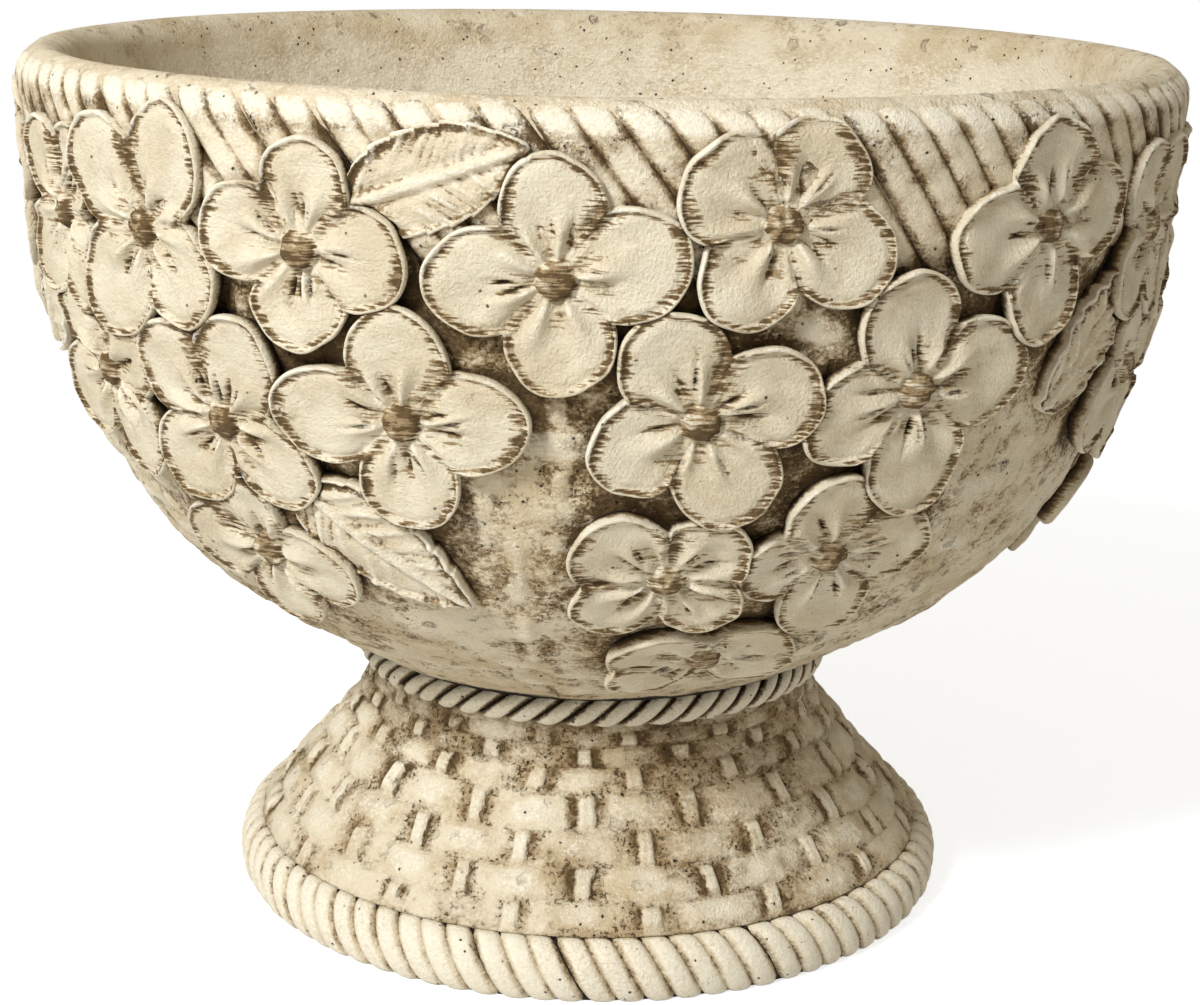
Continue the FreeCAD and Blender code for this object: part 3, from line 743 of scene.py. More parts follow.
def bowl_piece():
    """The bowl: woven outside, rounded lip, smooth inside, floor, drain and stub."""
    rows, columns = BOWL_GRID
    outer = np.linspace(0.0, wall.length, rows)[:, None]
    radius, height, out_r, out_z = wall.at(outer)
    azimuth = azimuths(rows, columns)
    along = np.broadcast_to(outer, azimuth.shape)
    bare = turned(radius, azimuth, height)

    # The weave, worn in patches and fading at the ledge and under the reeds
    rise = along / STRIP_HEIGHT + 0.10 * lumps(bare, 40.0, 6)
    shift = 0.5 * lumps(bare, 30.0, 7) * BOWL_STAKES / 360.0 + 0.4
    pitch = math.radians(360.0 / BOWL_STAKES) * radius
    stand, wash, pale = weave(azimuth * BOWL_STAKES / 360.0 + shift, rise, pitch, STAKE_WIDTH)
    strength = 0.22 + 0.78 * patches(bare, 38.0, 5, -0.9, 0.9)
    strength = strength * smooth(along, 3.0, 16.0) * (1.0 - smooth(height, 236.0, 256.0))
    lump = rough(bare, (15.0, 11, 0.40), (6.0, 12, 0.20), (3.2, 13, 0.10))
    stand = (0.60 * stand - 1.2) * strength + lump * smooth(along, 0.0, 8.0)

    # Wash and painted shade lie thick beside the relief, thickest between two pieces, and painted
    # shadow lies over the ledge under the bowl
    near, second = clear_of(azimuth, along, relief.values())
    stand -= bell(np.maximum(near, 0.0), 4.0)
    wash = wash * strength * 0.75 + 0.26 * patches(bare, 24.0, 21, -0.1, 0.9)
    wash += 0.56 * fade(near, 6.5) + 0.66 * fade(second, 10.0)
    deep = 1.20 * fade(near, 2.4) * (0.18 + 0.82 * fade(second, 5.5))
    wash += 0.16 * smooth(height, 160.0, 110.0) * patches(bare, 12.0, 23, -0.2, 0.9)
    wash += 0.6 * bell(along, 4.5)
    deep += 1.5 * bell(along, 4.2 + 1.6 * lumps(bare, 7.0, 25))
    pale = pale * strength * np.exp(-1.2 * wash)
    pale += 0.20 * patches(bare, 18.0, 22, 0.2, 1.0) * np.exp(-wash)

    # One stake of each third stands clear between the clusters, at azimuth -7.6
    beside = np.abs(np.radians((azimuth + 67.6) % 120.0 - 60.0) * radius)
    stake = smooth(height, 114.0, 120.0) * smooth(height, 174.0, 162.0)
    stake = stake * patches(bare, 6.0, 24, -0.9, 0.1)
    stand += 1.3 * bell(beside, 2.2) * stake
    # Wash and painted shade beside the stake, and painted highlight on it
    wash += (0.34 * bell(beside - 4.6, 1.8) - 0.25 * bell(beside, 2.8)) * stake
    pale += 0.50 * bell(beside, 2.2) * stake
    outside = turned(radius + stand * out_r, azimuth, height + stand * out_z)

    # The lip and the inside are only softly uneven
    line = np.array(LIP + INSIDE + FLOOR)
    level, last_wall = np.arange(len(line))[:, None], len(LIP + INSIDE)
    hold = 0.25 + 0.75 * smooth(level, 4.0, 8.0)
    hold = hold * (1.0 - smooth(level, last_wall - 3.0, last_wall))
    soft = rough(turned_line(line, columns), (46.0, 31, 0.45), (17.0, 32, 0.20))
    radius, height = line[:, :1] + soft * hold, line[:, 1:] + 0.4 * soft * hold
    rest = turned(radius, azimuths(len(line), columns), height)
    inner = smooth(level, 7.0, 11.0)
    stain = 0.26 * patches(rest, 52.0, 41, -0.5, 0.9) + 0.15 * lumps(rest, 21.0, 42)
    fields = join_fields(
        (outside.shape[:2], rest.shape[:2]), 0,
        wash=(wash, (stain + 0.02) * inner + 0.10 * (1.0 - inner)), deep=(deep, 0.0),
        pale=(pale, 0.42 * bell(level - 4.0, 3.0) + 0.62 * inner), calm=(0.0, inner),
        rise=(rise, 0.0), sway=(shift, 0.0), pitch=(pitch, PITCH_INSIDE),
        weft=(0.45 * strength * patches(bare, 44.0, 9, -0.3, 0.8), 0.0),
    )
    mesh = closed_mesh("bowl", np.concatenate([outside, rest]), **fields)
    return show("bowl_piece", mesh, bowl_stone, "bowl")


# Outline of the foot, heights between its woven strips, and its hollow
FOOT_OUTLINE = (
    (121.0, 21.3), (112.6, 31.5), (104.0, 41.5), (95.4, 51.6),
    (88.2, 60.4), (83.4, 67.6), (81.2, 73.5), (80.4, 79.6),
)
FOOT_ROWS = (21.0, 30.0, 39.5, 48.7, 59.0, 66.0, 72.0, 77.0, 82.0)
FOOT_INSIDE = (
    (74.6, 80.0), (40.0, 80.0), (DRAIN_RADIUS, 80.0), (DRAIN_RADIUS, 60.0), (40.0, 60.0),
    (69.0, 60.0), (82.0, 30.0), (93.5, 0.3), (102.0, 0.2), (110.6, 0.3), (110.8, 10.0),
    (110.8, 20.8),
)


def foot_profile():
    """The flared outline of the foot with its corners rounded off."""
    knots = np.linspace(0.0, 1.0, len(FOOT_OUTLINE))
    lines = [np.interp(np.linspace(0.0, 1.0, 200), knots, line) for line in zip(*FOOT_OUTLINE)]
    for line in lines:
        line[12:-12] = np.convolve(line, np.ones(25) / 25.0, "valid")
    return Profile(*lines)


def foot_piece():
    """The flared foot: woven outside, hollow from below."""
    rows, columns = FOOT_GRID
    flare = foot_profile()
    up = np.linspace(0.0, flare.length, rows)[:, None]
    radius, height, out_r, out_z = flare.at(up)
    azimuth = azimuths(rows, columns)
    bare = turned(radius, azimuth, height)

    rise = np.interp(height, FOOT_ROWS, np.arange(len(FOOT_ROWS))) + 0.10 * lumps(bare, 30.0, 51)
    shift = 12.0 + 0.9 * lumps(bare, 26.0, 52) + 0.25 * lumps(bare, 9.0, 56)
    shift = shift * FOOT_STAKES / 360.0
    pitch = math.radians(360.0 / FOOT_STAKES) * radius
    width = FOOT_STAKE_WIDTH + 0.5 * lumps(bare, 18.0, 57)
    stand, wash, pale = weave(azimuth * FOOT_STAKES / 360.0 + shift, rise, pitch, width)
    worn = 0.66 + 0.34 * patches(bare, 24.0, 58, -0.9, 0.7)
    edge = smooth(up, 0.0, 5.0) * (1.0 - smooth(up, flare.length - 6.0, flare.length))
    lump = rough(bare, (12.0, 53, 0.36), (5.0, 54, 0.20), (2.8, 59, 0.10))
    stand = (stand * worn - 1.9) * edge - 1.0 * (1.0 - edge) + lump
    wash = wash * worn + 0.24 * patches(bare, 22.0, 55, -0.5, 0.9)
    # Painted shade, darker in front a little to the right where the bowl's shadow falls, at the top
    # under the bowl, and at the bottom in the crease by the rope
    wash = wash + 0.22 * bell(half_turn(azimuth - 17.0), 30.0)
    wash = wash + 0.25 * bell(up, 2.2) + 0.34 * smooth(up, flare.length - 34.0, flare.length - 2.0)
    outside = turned(radius + stand * out_r, azimuth, height + stand * out_z)
    inside = turned_line(FOOT_INSIDE, columns)
    fields = join_fields(
        (outside.shape[:2], inside.shape[:2]), 0,
        wash=(wash, 0.30), pale=(1.15 * pale * edge * worn * np.exp(-wash), 0.0),
        rise=(rise, 0.0), sway=(shift, 0.0), pitch=(pitch, PITCH_INSIDE), weft=(edge * worn, 0.0),
    )
    mesh = closed_mesh("pedestal", np.concatenate([outside, inside]), **fields)
    return show("foot_piece", mesh, foot_stone, "pedestal")


# Ropes and the reeded band: strands all round, the ring they lie on and a strand's path
FOOT_STRANDS, NECK_STRANDS, REEDS = 82, 54, 100
FOOT_CORE = (
    (111.3, 0.4), (124.0, 0.4), (126.0, 6.0), (126.2, 11.0), (124.0, 16.5), (120.0, 19.8),
    (111.3, 20.4),
)
FOOT_PATH = (
    (120.6, 0.2), (124.4, 1.4), (126.2, 5.0), (126.6, 10.5), (125.4, 15.2), (122.4, 18.6),
    (118.0, 20.2),
)
NECK_CORE = ((74.6, 80.5), (80.0, 80.5), (81.4, 83.0), (80.8, 86.0), (79.2, 87.8), (74.6, 87.8))
NECK_PATH = ((79.0, 80.3), (81.0, 81.0), (82.2, 83.2), (81.8, 85.6), (80.2, 87.4), (78.0, 88.0))
RIM_CORE = (
    (189.6, 250.0), (190.3, 250.0), (191.4, 262.0), (192.8, 278.0), (193.6, 288.0), (190.0, 288.0)
)
REED_PATH = (
    (190.0, 248.5), (190.9, 254.0), (192.1, 262.0), (193.2, 272.0), (194.1, 281.0), (194.6, 287.0),
    (194.8, 291.0), (194.1, 294.0), (192.4, 296.3), (190.0, 297.3),
)
CORE_COLUMNS = 160


def strand_mesh(name, path, count, lean, swell, worn_end, flat, dark, columns=9, rows=16):
    """One of count strands, a rounded lobe along a path and closed underneath."""
    path, pitch = np.array(path, float), 360.0 / count
    steps = np.concatenate([[0.0], np.cumsum(np.hypot(*np.diff(path, axis=0).T))])
    smoothed = []
    for line in path.T:
        dense = np.interp(np.linspace(0.0, 1.0, 60) * steps[-1], steps, line)
        padded = np.pad(dense, 6, mode="reflect", reflect_type="odd")
        smoothed.append(np.convolve(padded, np.ones(13) / 13.0, "valid"))
    shape = Profile(*smoothed)
    share = np.linspace(0.0, 1.0, rows)[:, None]
    side = np.linspace(-1.0, 1.0, columns)[None, :]
    radius, height, out_r, out_z = shape.at(share * shape.length)
    ends = np.minimum(smooth(share, 0.0, worn_end), 1.0 - smooth(share, 1.0 - worn_end, 1.0))
    lobe = np.clip(1.0 - 0.985 * np.abs(side) ** flat, 0.0, 1.0) ** 0.5
    stand = swell * lobe * (0.22 + 0.78 * ends) - 0.5
    azimuth = lean * pitch * (share - 0.5) + 0.5 * pitch * 1.06 * side
    # Nothing goes below the ground
    top = turned(radius + stand * out_r, azimuth, np.maximum(height + stand * out_z, 0.2))
    sunk = turned(radius - 1.6 * out_r, azimuth, np.maximum(height - 1.6 * out_z, 0.3))
    points = np.concatenate([top, sunk[:, [-1, 0]]], 1)
    grid = points.shape[:2]
    # Wash and painted shade in the valleys between strands and at their tucked-in ends, and painted
    # highlight along each crown
    valley = smooth(np.abs(side), 0.45, 1.0)
    fields = join_fields(
        (top.shape[:2], (rows, 2)), 1,
        wash=((0.45 + 0.45 * dark) * valley + 0.18 * (1.0 - ends) + 0.12 * dark, 1.0),
        deep=(0.70 * dark * smooth(valley, 0.82 - 0.14 * dark, 1.0), 1.0),
        pale=(0.74 * (1.0 - valley) * ends, 0.0),
    )
    return make_mesh(name, points.reshape(-1, 3), tube_faces(*grid), tube_caps(*grid), **fields)


def ring_mesh(name, outline):
    """A plain closed ring that the strands are laid on, painted fully dark as the shade seen between
    them.
    """
    points = turned_line(outline, CORE_COLUMNS)
    full = np.ones(points.shape[:2])
    return closed_mesh(name, points, wash=full, deep=full, pale=np.zeros(full.shape))


def strand_tree(material):
    """Geometry Nodes that lay a strand all the way round a ring."""
    tree = bpy.data.node_groups.new("strands_round_ring", "GeometryNodeTree")
    inputs = {}
    for name, kind in (
        ("Geometry", "NodeSocketGeometry"),
        ("Strand", "NodeSocketObject"),
        ("Strands", "NodeSocketInt"),
        ("Uneven Turn", "NodeSocketFloat"),
        ("Uneven Size", "NodeSocketFloat"),
    ):
        inputs[name] = tree.interface.new_socket(name, in_out="INPUT", socket_type=kind).identifier
    tree.interface.new_socket("Geometry", in_out="OUTPUT", socket_type="NodeSocketGeometry")
    entry = tree.nodes.new("NodeGroupInput")
    ask = {name: Socket(tree, entry.outputs[name]) for name in inputs}

    def node(kind, values, output=0, **settings):
        return add_node(tree, kind, settings, values, output)

    def uneven(name, seed):
        values = {2: -1.0, 3: 1.0, "Seed": seed}
        return node("FunctionNodeRandomValue", values, 1, data_type="FLOAT") * ask[name]

    points = node("GeometryNodePoints", {"Count": ask["Strands"]})
    strand = node("GeometryNodeObjectInfo", {"Object": ask["Strand"]}, 4)
    step = node("ShaderNodeMath", {0: 2.0 * math.pi, 1: ask["Strands"]}, operation="DIVIDE")
    turn = node("GeometryNodeInputIndex", {}) * step + uneven("Uneven Turn", 3)
    spin = node("ShaderNodeCombineXYZ", {"Z": turn})
    size = 1.0 + uneven("Uneven Size", 8)
    scale = node("ShaderNodeCombineXYZ", {"X": size, "Y": size, "Z": 1.0})
    values = {"Points": points, "Instance": strand, "Scale": scale}
    values["Rotation"] = node("FunctionNodeEulerToRotation", {0: spin})
    laid = node("GeometryNodeInstanceOnPoints", values)
    both = tree.nodes.new("GeometryNodeJoinGeometry")
    for part in (ask["Geometry"], laid):
        tree.links.new(part.socket, both.inputs[0])
    solid = node("GeometryNodeRealizeInstances", {0: Socket(tree, both.outputs[0])})
    dressed = node("GeometryNodeSetMaterial", {0: solid, "Material": material})
    end_tree(tree, "NodeGroupOutput", dressed)
    return tree, inputs


strands_round, strand_inputs = strand_tree(rope_stone)


def rope_piece(node, slot, core, path, count, uneven_turn, uneven_size, **form):
    """A rope or band: one strand repeated round its core by Geometry Nodes."""
    host = put(node + "_core", ring_mesh(node + "_core", core))
    single = put(node + "_strand", strand_mesh(node + "_strand", path, count, **form))
    modifier = host.modifiers.new("strands", "NODES")
    modifier.node_group = strands_round
    modifier[strand_inputs["Strand"]] = single
    modifier[strand_inputs["Strands"]] = count
    modifier[strand_inputs["Uneven Turn"]] = uneven_turn
    modifier[strand_inputs["Uneven Size"]] = uneven_size
    bpy.context.view_layer.update()
    evaluated = host.evaluated_get(bpy.context.evaluated_depsgraph_get())
    mesh = bpy.data.meshes.new_from_object(evaluated)
    host.modifiers.clear()
    bpy.data.objects.remove(host)
    bpy.data.objects.remove(single)
    return show(node + "_piece", mesh, rope_stone, node)


def foot_rope():
    """Broad rope round the foot, its strands leaning to the upper left."""
    return rope_piece(
        "foot_rope", "foot_stone", FOOT_CORE, FOOT_PATH, FOOT_STRANDS, 0.006, 0.002,
        lean=-1.5, swell=2.6, worn_end=0.14, flat=2.2, dark=0.42,
    )


def neck_rope():
    """Small rope round the neck, its strands leaning to the upper right, with heavy painted shade in
    its valleys under the bowl.
    """
    return rope_piece(
        "neck_rope", "foot_stone", NECK_CORE, NECK_PATH, NECK_STRANDS, 0.008, 0.003,
        lean=1.75, swell=3.0, worn_end=0.2, flat=1.7, dark=2.6,
    )


def rim_band():
    """Reeded band under the lip: reeds leaning to the upper left, worn at the top."""
    piece = rope_piece(
        "rim_band", "bowl_stone", RIM_CORE, REED_PATH, REEDS, 0.006, 0.0015,
        lean=-3.1, swell=2.8, worn_end=0.20, flat=3.2, dark=0.7, columns=11, rows=24,
    )
    mesh = piece.data
    mesh.materials[0] = reed_stone
    points = np.zeros(3 * len(mesh.vertices), np.float32)
    mesh.vertices.foreach_get("co", points)
    points = points.reshape(-1, 3) / MM
    height = points[:, 2]
    azimuth = np.degrees(np.arctan2(points[:, 0], -points[:, 1]))
    # Wash and painted shade in the crevices by the relief
    near, second = clear_of(azimuth, bed.length_at(height), relief.values())
    uneven = lumps(points, 9.0, 61)
    top = smooth(height, 286.0, 293.5)
    wash = 0.42 * fade(near, 5.0) + 0.10 + 0.16 * uneven + 0.30 * bell(height - 288.0, 3.0)
    wash = wash + 0.34 * bell(height - 281.0, 6.0) * patches(points, 26.0, 62, -0.4, 0.6)
    deep = 1.05 * fade(near, 1.9) * (0.35 + 0.65 * fade(second, 4.0))
    # How much of the strands' own value is kept, and what is added to it
    shade = {
        "wash": (0.78, wash),
        "deep": (0.40 * (1.0 - 0.8 * top), deep),
        "pale": (0.66, 0.50 * top - 0.10 * smooth(uneven, -0.3, 0.6)),
    }
    for field, (kept, extra) in shade.items():
        data = mesh.attributes[field].data
        values = np.zeros(len(data), np.float32)
        data.foreach_get("value", values)
        data.foreach_set("value", (values * kept + extra).astype(np.float32))
    return piece


# Flowers and leaves: how far their backs are sunk in, and the rings round a flower's middle
# and in from its outline
BACK = -2.4
CORE_RINGS = np.array((1.0, 2.2, 3.3, 4.3, 5.0, 5.6, 6.3, 7.2, 8.3, 9.5, 10.8))
EDGE_RINGS = np.array((6.2, 5.2, 4.3, 3.5, 2.8, 2.2, 1.7, 1.2, 0.8, 0.4, 0.0))
PETAL_COLUMNS = 56
LEAF_GRID = (150, 37)


def over_them(name):
    """The pieces of relief that lie over this one."""
    names = list(relief)
    return [relief[other] for other in names[: names.index(name)]]


def set_on_wall(piece, across, up, stand, over):
    """Lay a piece's own points on the wall, dipping under what lies over it."""
    left = bed.length - piece.along - up
    held = bed.length - 0.5 - np.logaddexp(0.0, (bed.length - 0.5 - piece.along - up) / 1.5) * 1.5
    along = np.where(left > 12.0, piece.along + up, held)
    azimuth = piece.azimuth + np.degrees(across / bed.at(along)[0])
    near = clear_of(azimuth, along, over)[0]
    dip = 1.0 - smooth(near, -2.2, 1.4)
    stand = stand - 4.6 * dip * smooth(stand, -1.0, 3.0)
    stand = stand - piece.rim_drop * smooth(along, bed.length - 27.0, bed.length - 8.0)
    stand = stand - piece.flatter * smooth(along, bed.length - 62.0, bed.length - 30.0)
    return bed.place(azimuth, along, stand), near


def petal_rings(flower):
    """Headings round a flower, and for each ring of points its distances."""
    share = np.linspace(-1.0, 1.0, PETAL_COLUMNS, endpoint=False)
    share = np.sign(share) * np.abs(share) ** 0.86
    heading = np.concatenate([
        middle + np.where(share < 0.0, middle - start, after - middle) * share
        for start, middle, after in zip(flower.starts, flower.headings, flower.seams)
    ])
    reach = flower.reach(heading)
    slant = np.gradient(np.concatenate([reach[-1:], reach, reach[:1]]))[1:-1]
    turns = np.concatenate([heading[-1:] - 360.0, heading, heading[:1] + 360.0])
    step = np.radians(np.gradient(turns)[1:-1])
    lean = np.clip(1.0 / np.sqrt(1.0 + (slant / (reach * step)) ** 2), 0.42, 1.0)
    core, gaps = CORE_RINGS[-1], EDGE_RINGS
    outer_start = np.maximum(reach - gaps[0] / lean, 0.5 * (reach + core))
    rings = [np.full(heading.shape, r) for r in CORE_RINGS]
    rings += [core + (outer_start - core) * part for part in np.linspace(0.0, 1.0, 9)[1:-1]]
    rings += [reach - (reach - outer_start) * gap / gaps[0] for gap in gaps]
    distance = np.stack(rings)
    return heading, reach, distance, (reach - distance) * lean


def throat_cuts(flower, distance, local, petal):
    """Short grooves that run out from the throat, two or three to a petal."""
    cuts = np.zeros(distance.shape)
    for index, side in enumerate((-1.0, 1.0, 0.1)):
        rng = np.random.default_rng(flower.seed * 7 + index)
        off = side * rng.uniform(9.0, 20.0, 4)
        middle = rng.uniform(10.5, 15.0, 4)
        half = rng.uniform(2.8, 5.6, 4)
        skew = rng.uniform(-1.2, 1.2, 4)
        power = rng.choice((0.0, 1.0, 1.0, 1.0), 4) * rng.uniform(0.7, 1.0, 4)
        beyond = distance - middle[petal]
        gap = distance * np.sin(np.radians(np.clip(local - off[petal], -80, 80)))
        gap = gap - 0.16 * skew[petal] * beyond
        cuts = np.maximum(cuts, bell(gap, 0.80) * bell(beyond, half[petal]) * power[petal])
    return cuts


def flower_piece(name, flower):
    """A four-petalled flower: cupped petals, raised rims, pinched throat and a boss."""
    seed, crisp = flower.seed, flower.crisp
    heading, reach, distance, edge = petal_rings(flower)
    which, across = flower.petal_at(heading + 1e-6)
    across, petal = (np.broadcast_to(line, distance.shape) for line in (across, which))
    angle = np.radians(np.broadcast_to(heading, distance.shape))

    # How far each point is from the seam with the next petal
    before, after = flower.headings - flower.starts, flower.seams - flower.headings
    half = np.where(across < 0.0, before[petal], after[petal])
    seam = distance * np.sin(np.radians(np.minimum((1.0 - np.abs(across)) * half, 90.0)))
    out = distance / flower.tips[petal]
    flat = (distance * np.cos(angle), distance * np.sin(angle), np.zeros(distance.shape))
    own = np.stack(flat, -1) + seed
    # Which way the outline faces: wash stays on its sides, and a painted highlight goes on the edges
    # that face the light, up and to the left
    line = np.stack([reach * np.cos(np.radians(heading)), reach * np.sin(np.radians(heading))], -1)
    run = np.roll(line, -1, 0) - np.roll(line, 1, 0)
    run = run / np.linalg.norm(run, axis=1, keepdims=True)
    sideways = np.abs(run[:, 1])
    lit = 0.5 + 0.5 * (-0.57 * run[:, 1] - 0.82 * run[:, 0])
    uneven = patches(own[-1:], 8.0, seed + 5, -0.8, 0.8)

    # Cupped petals with a raised rim and a sunk seam, one edge lifted over the next
    stand = RELIEF - 0.5 - 1.2 * bell(out - 0.55, 0.27) * (1.0 - 0.35 * across**2)
    stand = stand + 0.5 * smooth(out, 0.65, 1.0) - 3.6 * bell(distance, 9.5)
    border = np.minimum(edge, seam)
    rim = crisp * (0.35 + 0.65 * uneven)
    rim = 0.90 * rim * bell(border - 0.6, 0.65) - 0.60 * crisp * bell(border - 2.3, 1.1)
    stand += rim * smooth(distance, 11.0, 18.0)
    sunk = 1.7 * bell(seam, 1.8) * smooth(distance, 6.0, 11.0)
    stand -= sunk * (1.0 - 0.45 * smooth(edge, 4.0, 0.0))
    lift = flower.tilt[petal] * np.sign(across) * smooth(np.abs(across), 0.35, 1.0)
    stand += 1.05 * lift * smooth(distance, 11.0, 20.0) * smooth(seam, 8.0, 1.5)
    # Pleats and grooves that run out from the throat
    local = across * half
    fold = flower.phases[2:6][petal % 4]
    wave = 0.5 + 0.5 * np.cos(np.radians(local) * (8.0 + 1.5 * np.sin(fold)) + fold)
    pleat = (2.0 * wave**1.7 - 1.0) * bell(distance - 12.0, 7.5)
    cuts = throat_cuts(flower, distance, local, petal)
    stand += 1.30 * pleat * smooth(seam, 0.3, 2.5) - 1.9 * cuts
    stand += 0.34 * lumps(own, 10.0, seed) + 0.14 * lumps(own, 4.5, seed + 1)
    # Boss in the throat
    boss = smooth(distance, BOSS + 0.5, BOSS - 0.8)
    knob = RELIEF - 0.9 + 0.60 * lumps(own, 2.4, seed + 2) - 0.050 * distance**2
    stand = stand * (1.0 - boss) + knob * boss
    stand -= 0.9 * bell(distance - BOSS - 0.6, 0.8)

    # Wash in a band inside the outline, wash and painted shade in the seams, grooves and throat, and on
    # the boss, painted lighter to the upper left and darker on its shaded lower right
    tone = 0.60 + 0.40 * flower.tone[petal]
    width = 1.2 + 5.4 * sideways**1.3 * (0.35 + 0.65 * uneven) * tone
    band = smooth(edge, 0.5, 1.0) * np.clip(1.0 - (edge - 1.0) / width, 0.0, 1.0)
    notch = smooth(out, 0.30, 0.70)
    upward = np.maximum(np.sin(angle), 0.0) ** 1.5
    joint_width = 0.9 + (0.25 + 0.75 * notch) * (2.4 + 4.6 * upward)
    joint = np.clip(1.0 - seam / joint_width, 0.0, 1.0) ** 0.7 * smooth(distance, 7.5, 12.0)
    joint = joint * (0.40 + 0.30 * notch + 0.45 * upward)
    wash = np.maximum(band * (0.72 + 0.38 * sideways) * (0.6 + 0.4 * crisp), joint)
    wash += 0.95 * cuts + 0.18 * bell(distance - 8.0, 2.6) + 0.22 * smooth(-pleat, 0.25, 0.9)
    knob_wash = 0.96 + 0.26 * lumps(own, 2.2, seed + 3)
    knob_wash = knob_wash - 0.18 * smooth(np.cos(angle - 2.3), 0.0, 1.0)
    wash = np.maximum(wash, knob_wash * smooth(distance, BOSS + 0.5, BOSS - 0.3))
    deep = 0.76 * smooth(cuts, 0.30, 0.85)
    deep += 0.16 * bell(seam, 0.9) * smooth(distance, 8.0, 12.0) * smooth(edge, 0.0, 3.0)
    deep += 0.60 * bell(edge - 1.0, 0.55) * sideways * uneven * crisp
    shadow_side = smooth(np.cos(angle + math.radians(25.0)), 0.0, 0.9)
    deep += 0.55 * shadow_side * bell(distance - BOSS + 0.6, 1.8)
    # Painted highlights on the outline where it faces the light, broken here and there, on the pleats'
    # crests and in a ring round the throat
    broken = patches(own[-1:], 3.6, seed + 6, -0.6, 0.5)
    shine = crisp * (0.05 + 1.05 * lit**2) * (0.22 + 0.34 * uneven + 0.50 * broken)
    pale = shine * (1.0 - smooth(edge, 0.4 + 0.4 * lit, 1.0 + 0.8 * lit))
    pale = (pale + 0.42 * smooth(pleat, 0.15, 0.8)) * (1.0 - boss)
    pale += 0.30 * bell(distance - 8.0, 1.8)

    # Side walls that go down from the outline, painted darker with shade as they go down and with the
    # rim's painted highlight at their top, and the back
    side_out = np.array((0.22, 0.30, 0.12, -0.5, -1.6, -2.6))[:, None]
    side_down = np.array((0.45, 1.2, 2.4, 4.0, 6.0, 8.6))[:, None]
    side_wash = np.array((0.10, 0.22, 0.55, 0.95, 1.1, 1.2, 0.0))[:, None]
    side_deep = np.array((0.0, 0.0, 0.10, 0.50, 0.9, 1.2, 0.0))[:, None]
    side_pale = np.array((0.55, 0.35, 0.0, 0.0, 0.0, 0.0, 0.0))[:, None] * shine
    floor = np.full((1, len(heading)), BACK)
    top_grid = distance.shape
    distance = np.concatenate([distance, reach + side_out, 0.55 * reach[None, :]])
    stand = np.concatenate([stand, np.maximum(stand[-1] - side_down, BACK), floor])
    angle = np.radians(np.broadcast_to(heading, distance.shape))
    over = over_them(name)
    cross, up = distance * np.cos(angle), distance * np.sin(angle)
    place, near = set_on_wall(flower, cross, up, stand, over)
    fields = join_fields(
        (top_grid, (len(side_down) + 1, len(heading))), 0,
        wash=(wash, side_wash), deep=(deep, side_deep), pale=(pale, side_pale),
        calm=(0.55 * boss, 0.8),
    )
    # Painted shade where the piece dips under those over it, and no highlight there
    fields["wash"] += 0.80 * fade(near, 1.8)
    fields["deep"] += 0.80 * fade(near, 0.9)
    fields["pale"] *= 1.0 - fade(near, 1.8)

    # A point in the middle of the boss and one in the middle of the back close the mesh
    middles = set_on_wall(flower, np.zeros(2), np.zeros(2), np.array((RELIEF - 0.9, BACK)), over)[0]
    points = np.concatenate([place.reshape(-1, 3), middles])
    rows, columns = distance.shape
    last, size = (rows - 1) * columns, rows * columns
    caps = [(size, i, (i + 1) % columns) for i in range(columns)]
    caps += [(size + 1, last + (i + 1) % columns, last + i) for i in range(columns)]
    for field, values in fields.items():
        middle = 0.9 if field == "wash" else 0.0
        fields[field] = np.concatenate([values.ravel(), (middle, 1.0)])
    quads = tube_faces(rows, columns)[:, ::-1]
    mesh = make_mesh(name + "_mesh", points, quads, caps, **fields)
    return show(name + "_piece", mesh, flower_stone, name)


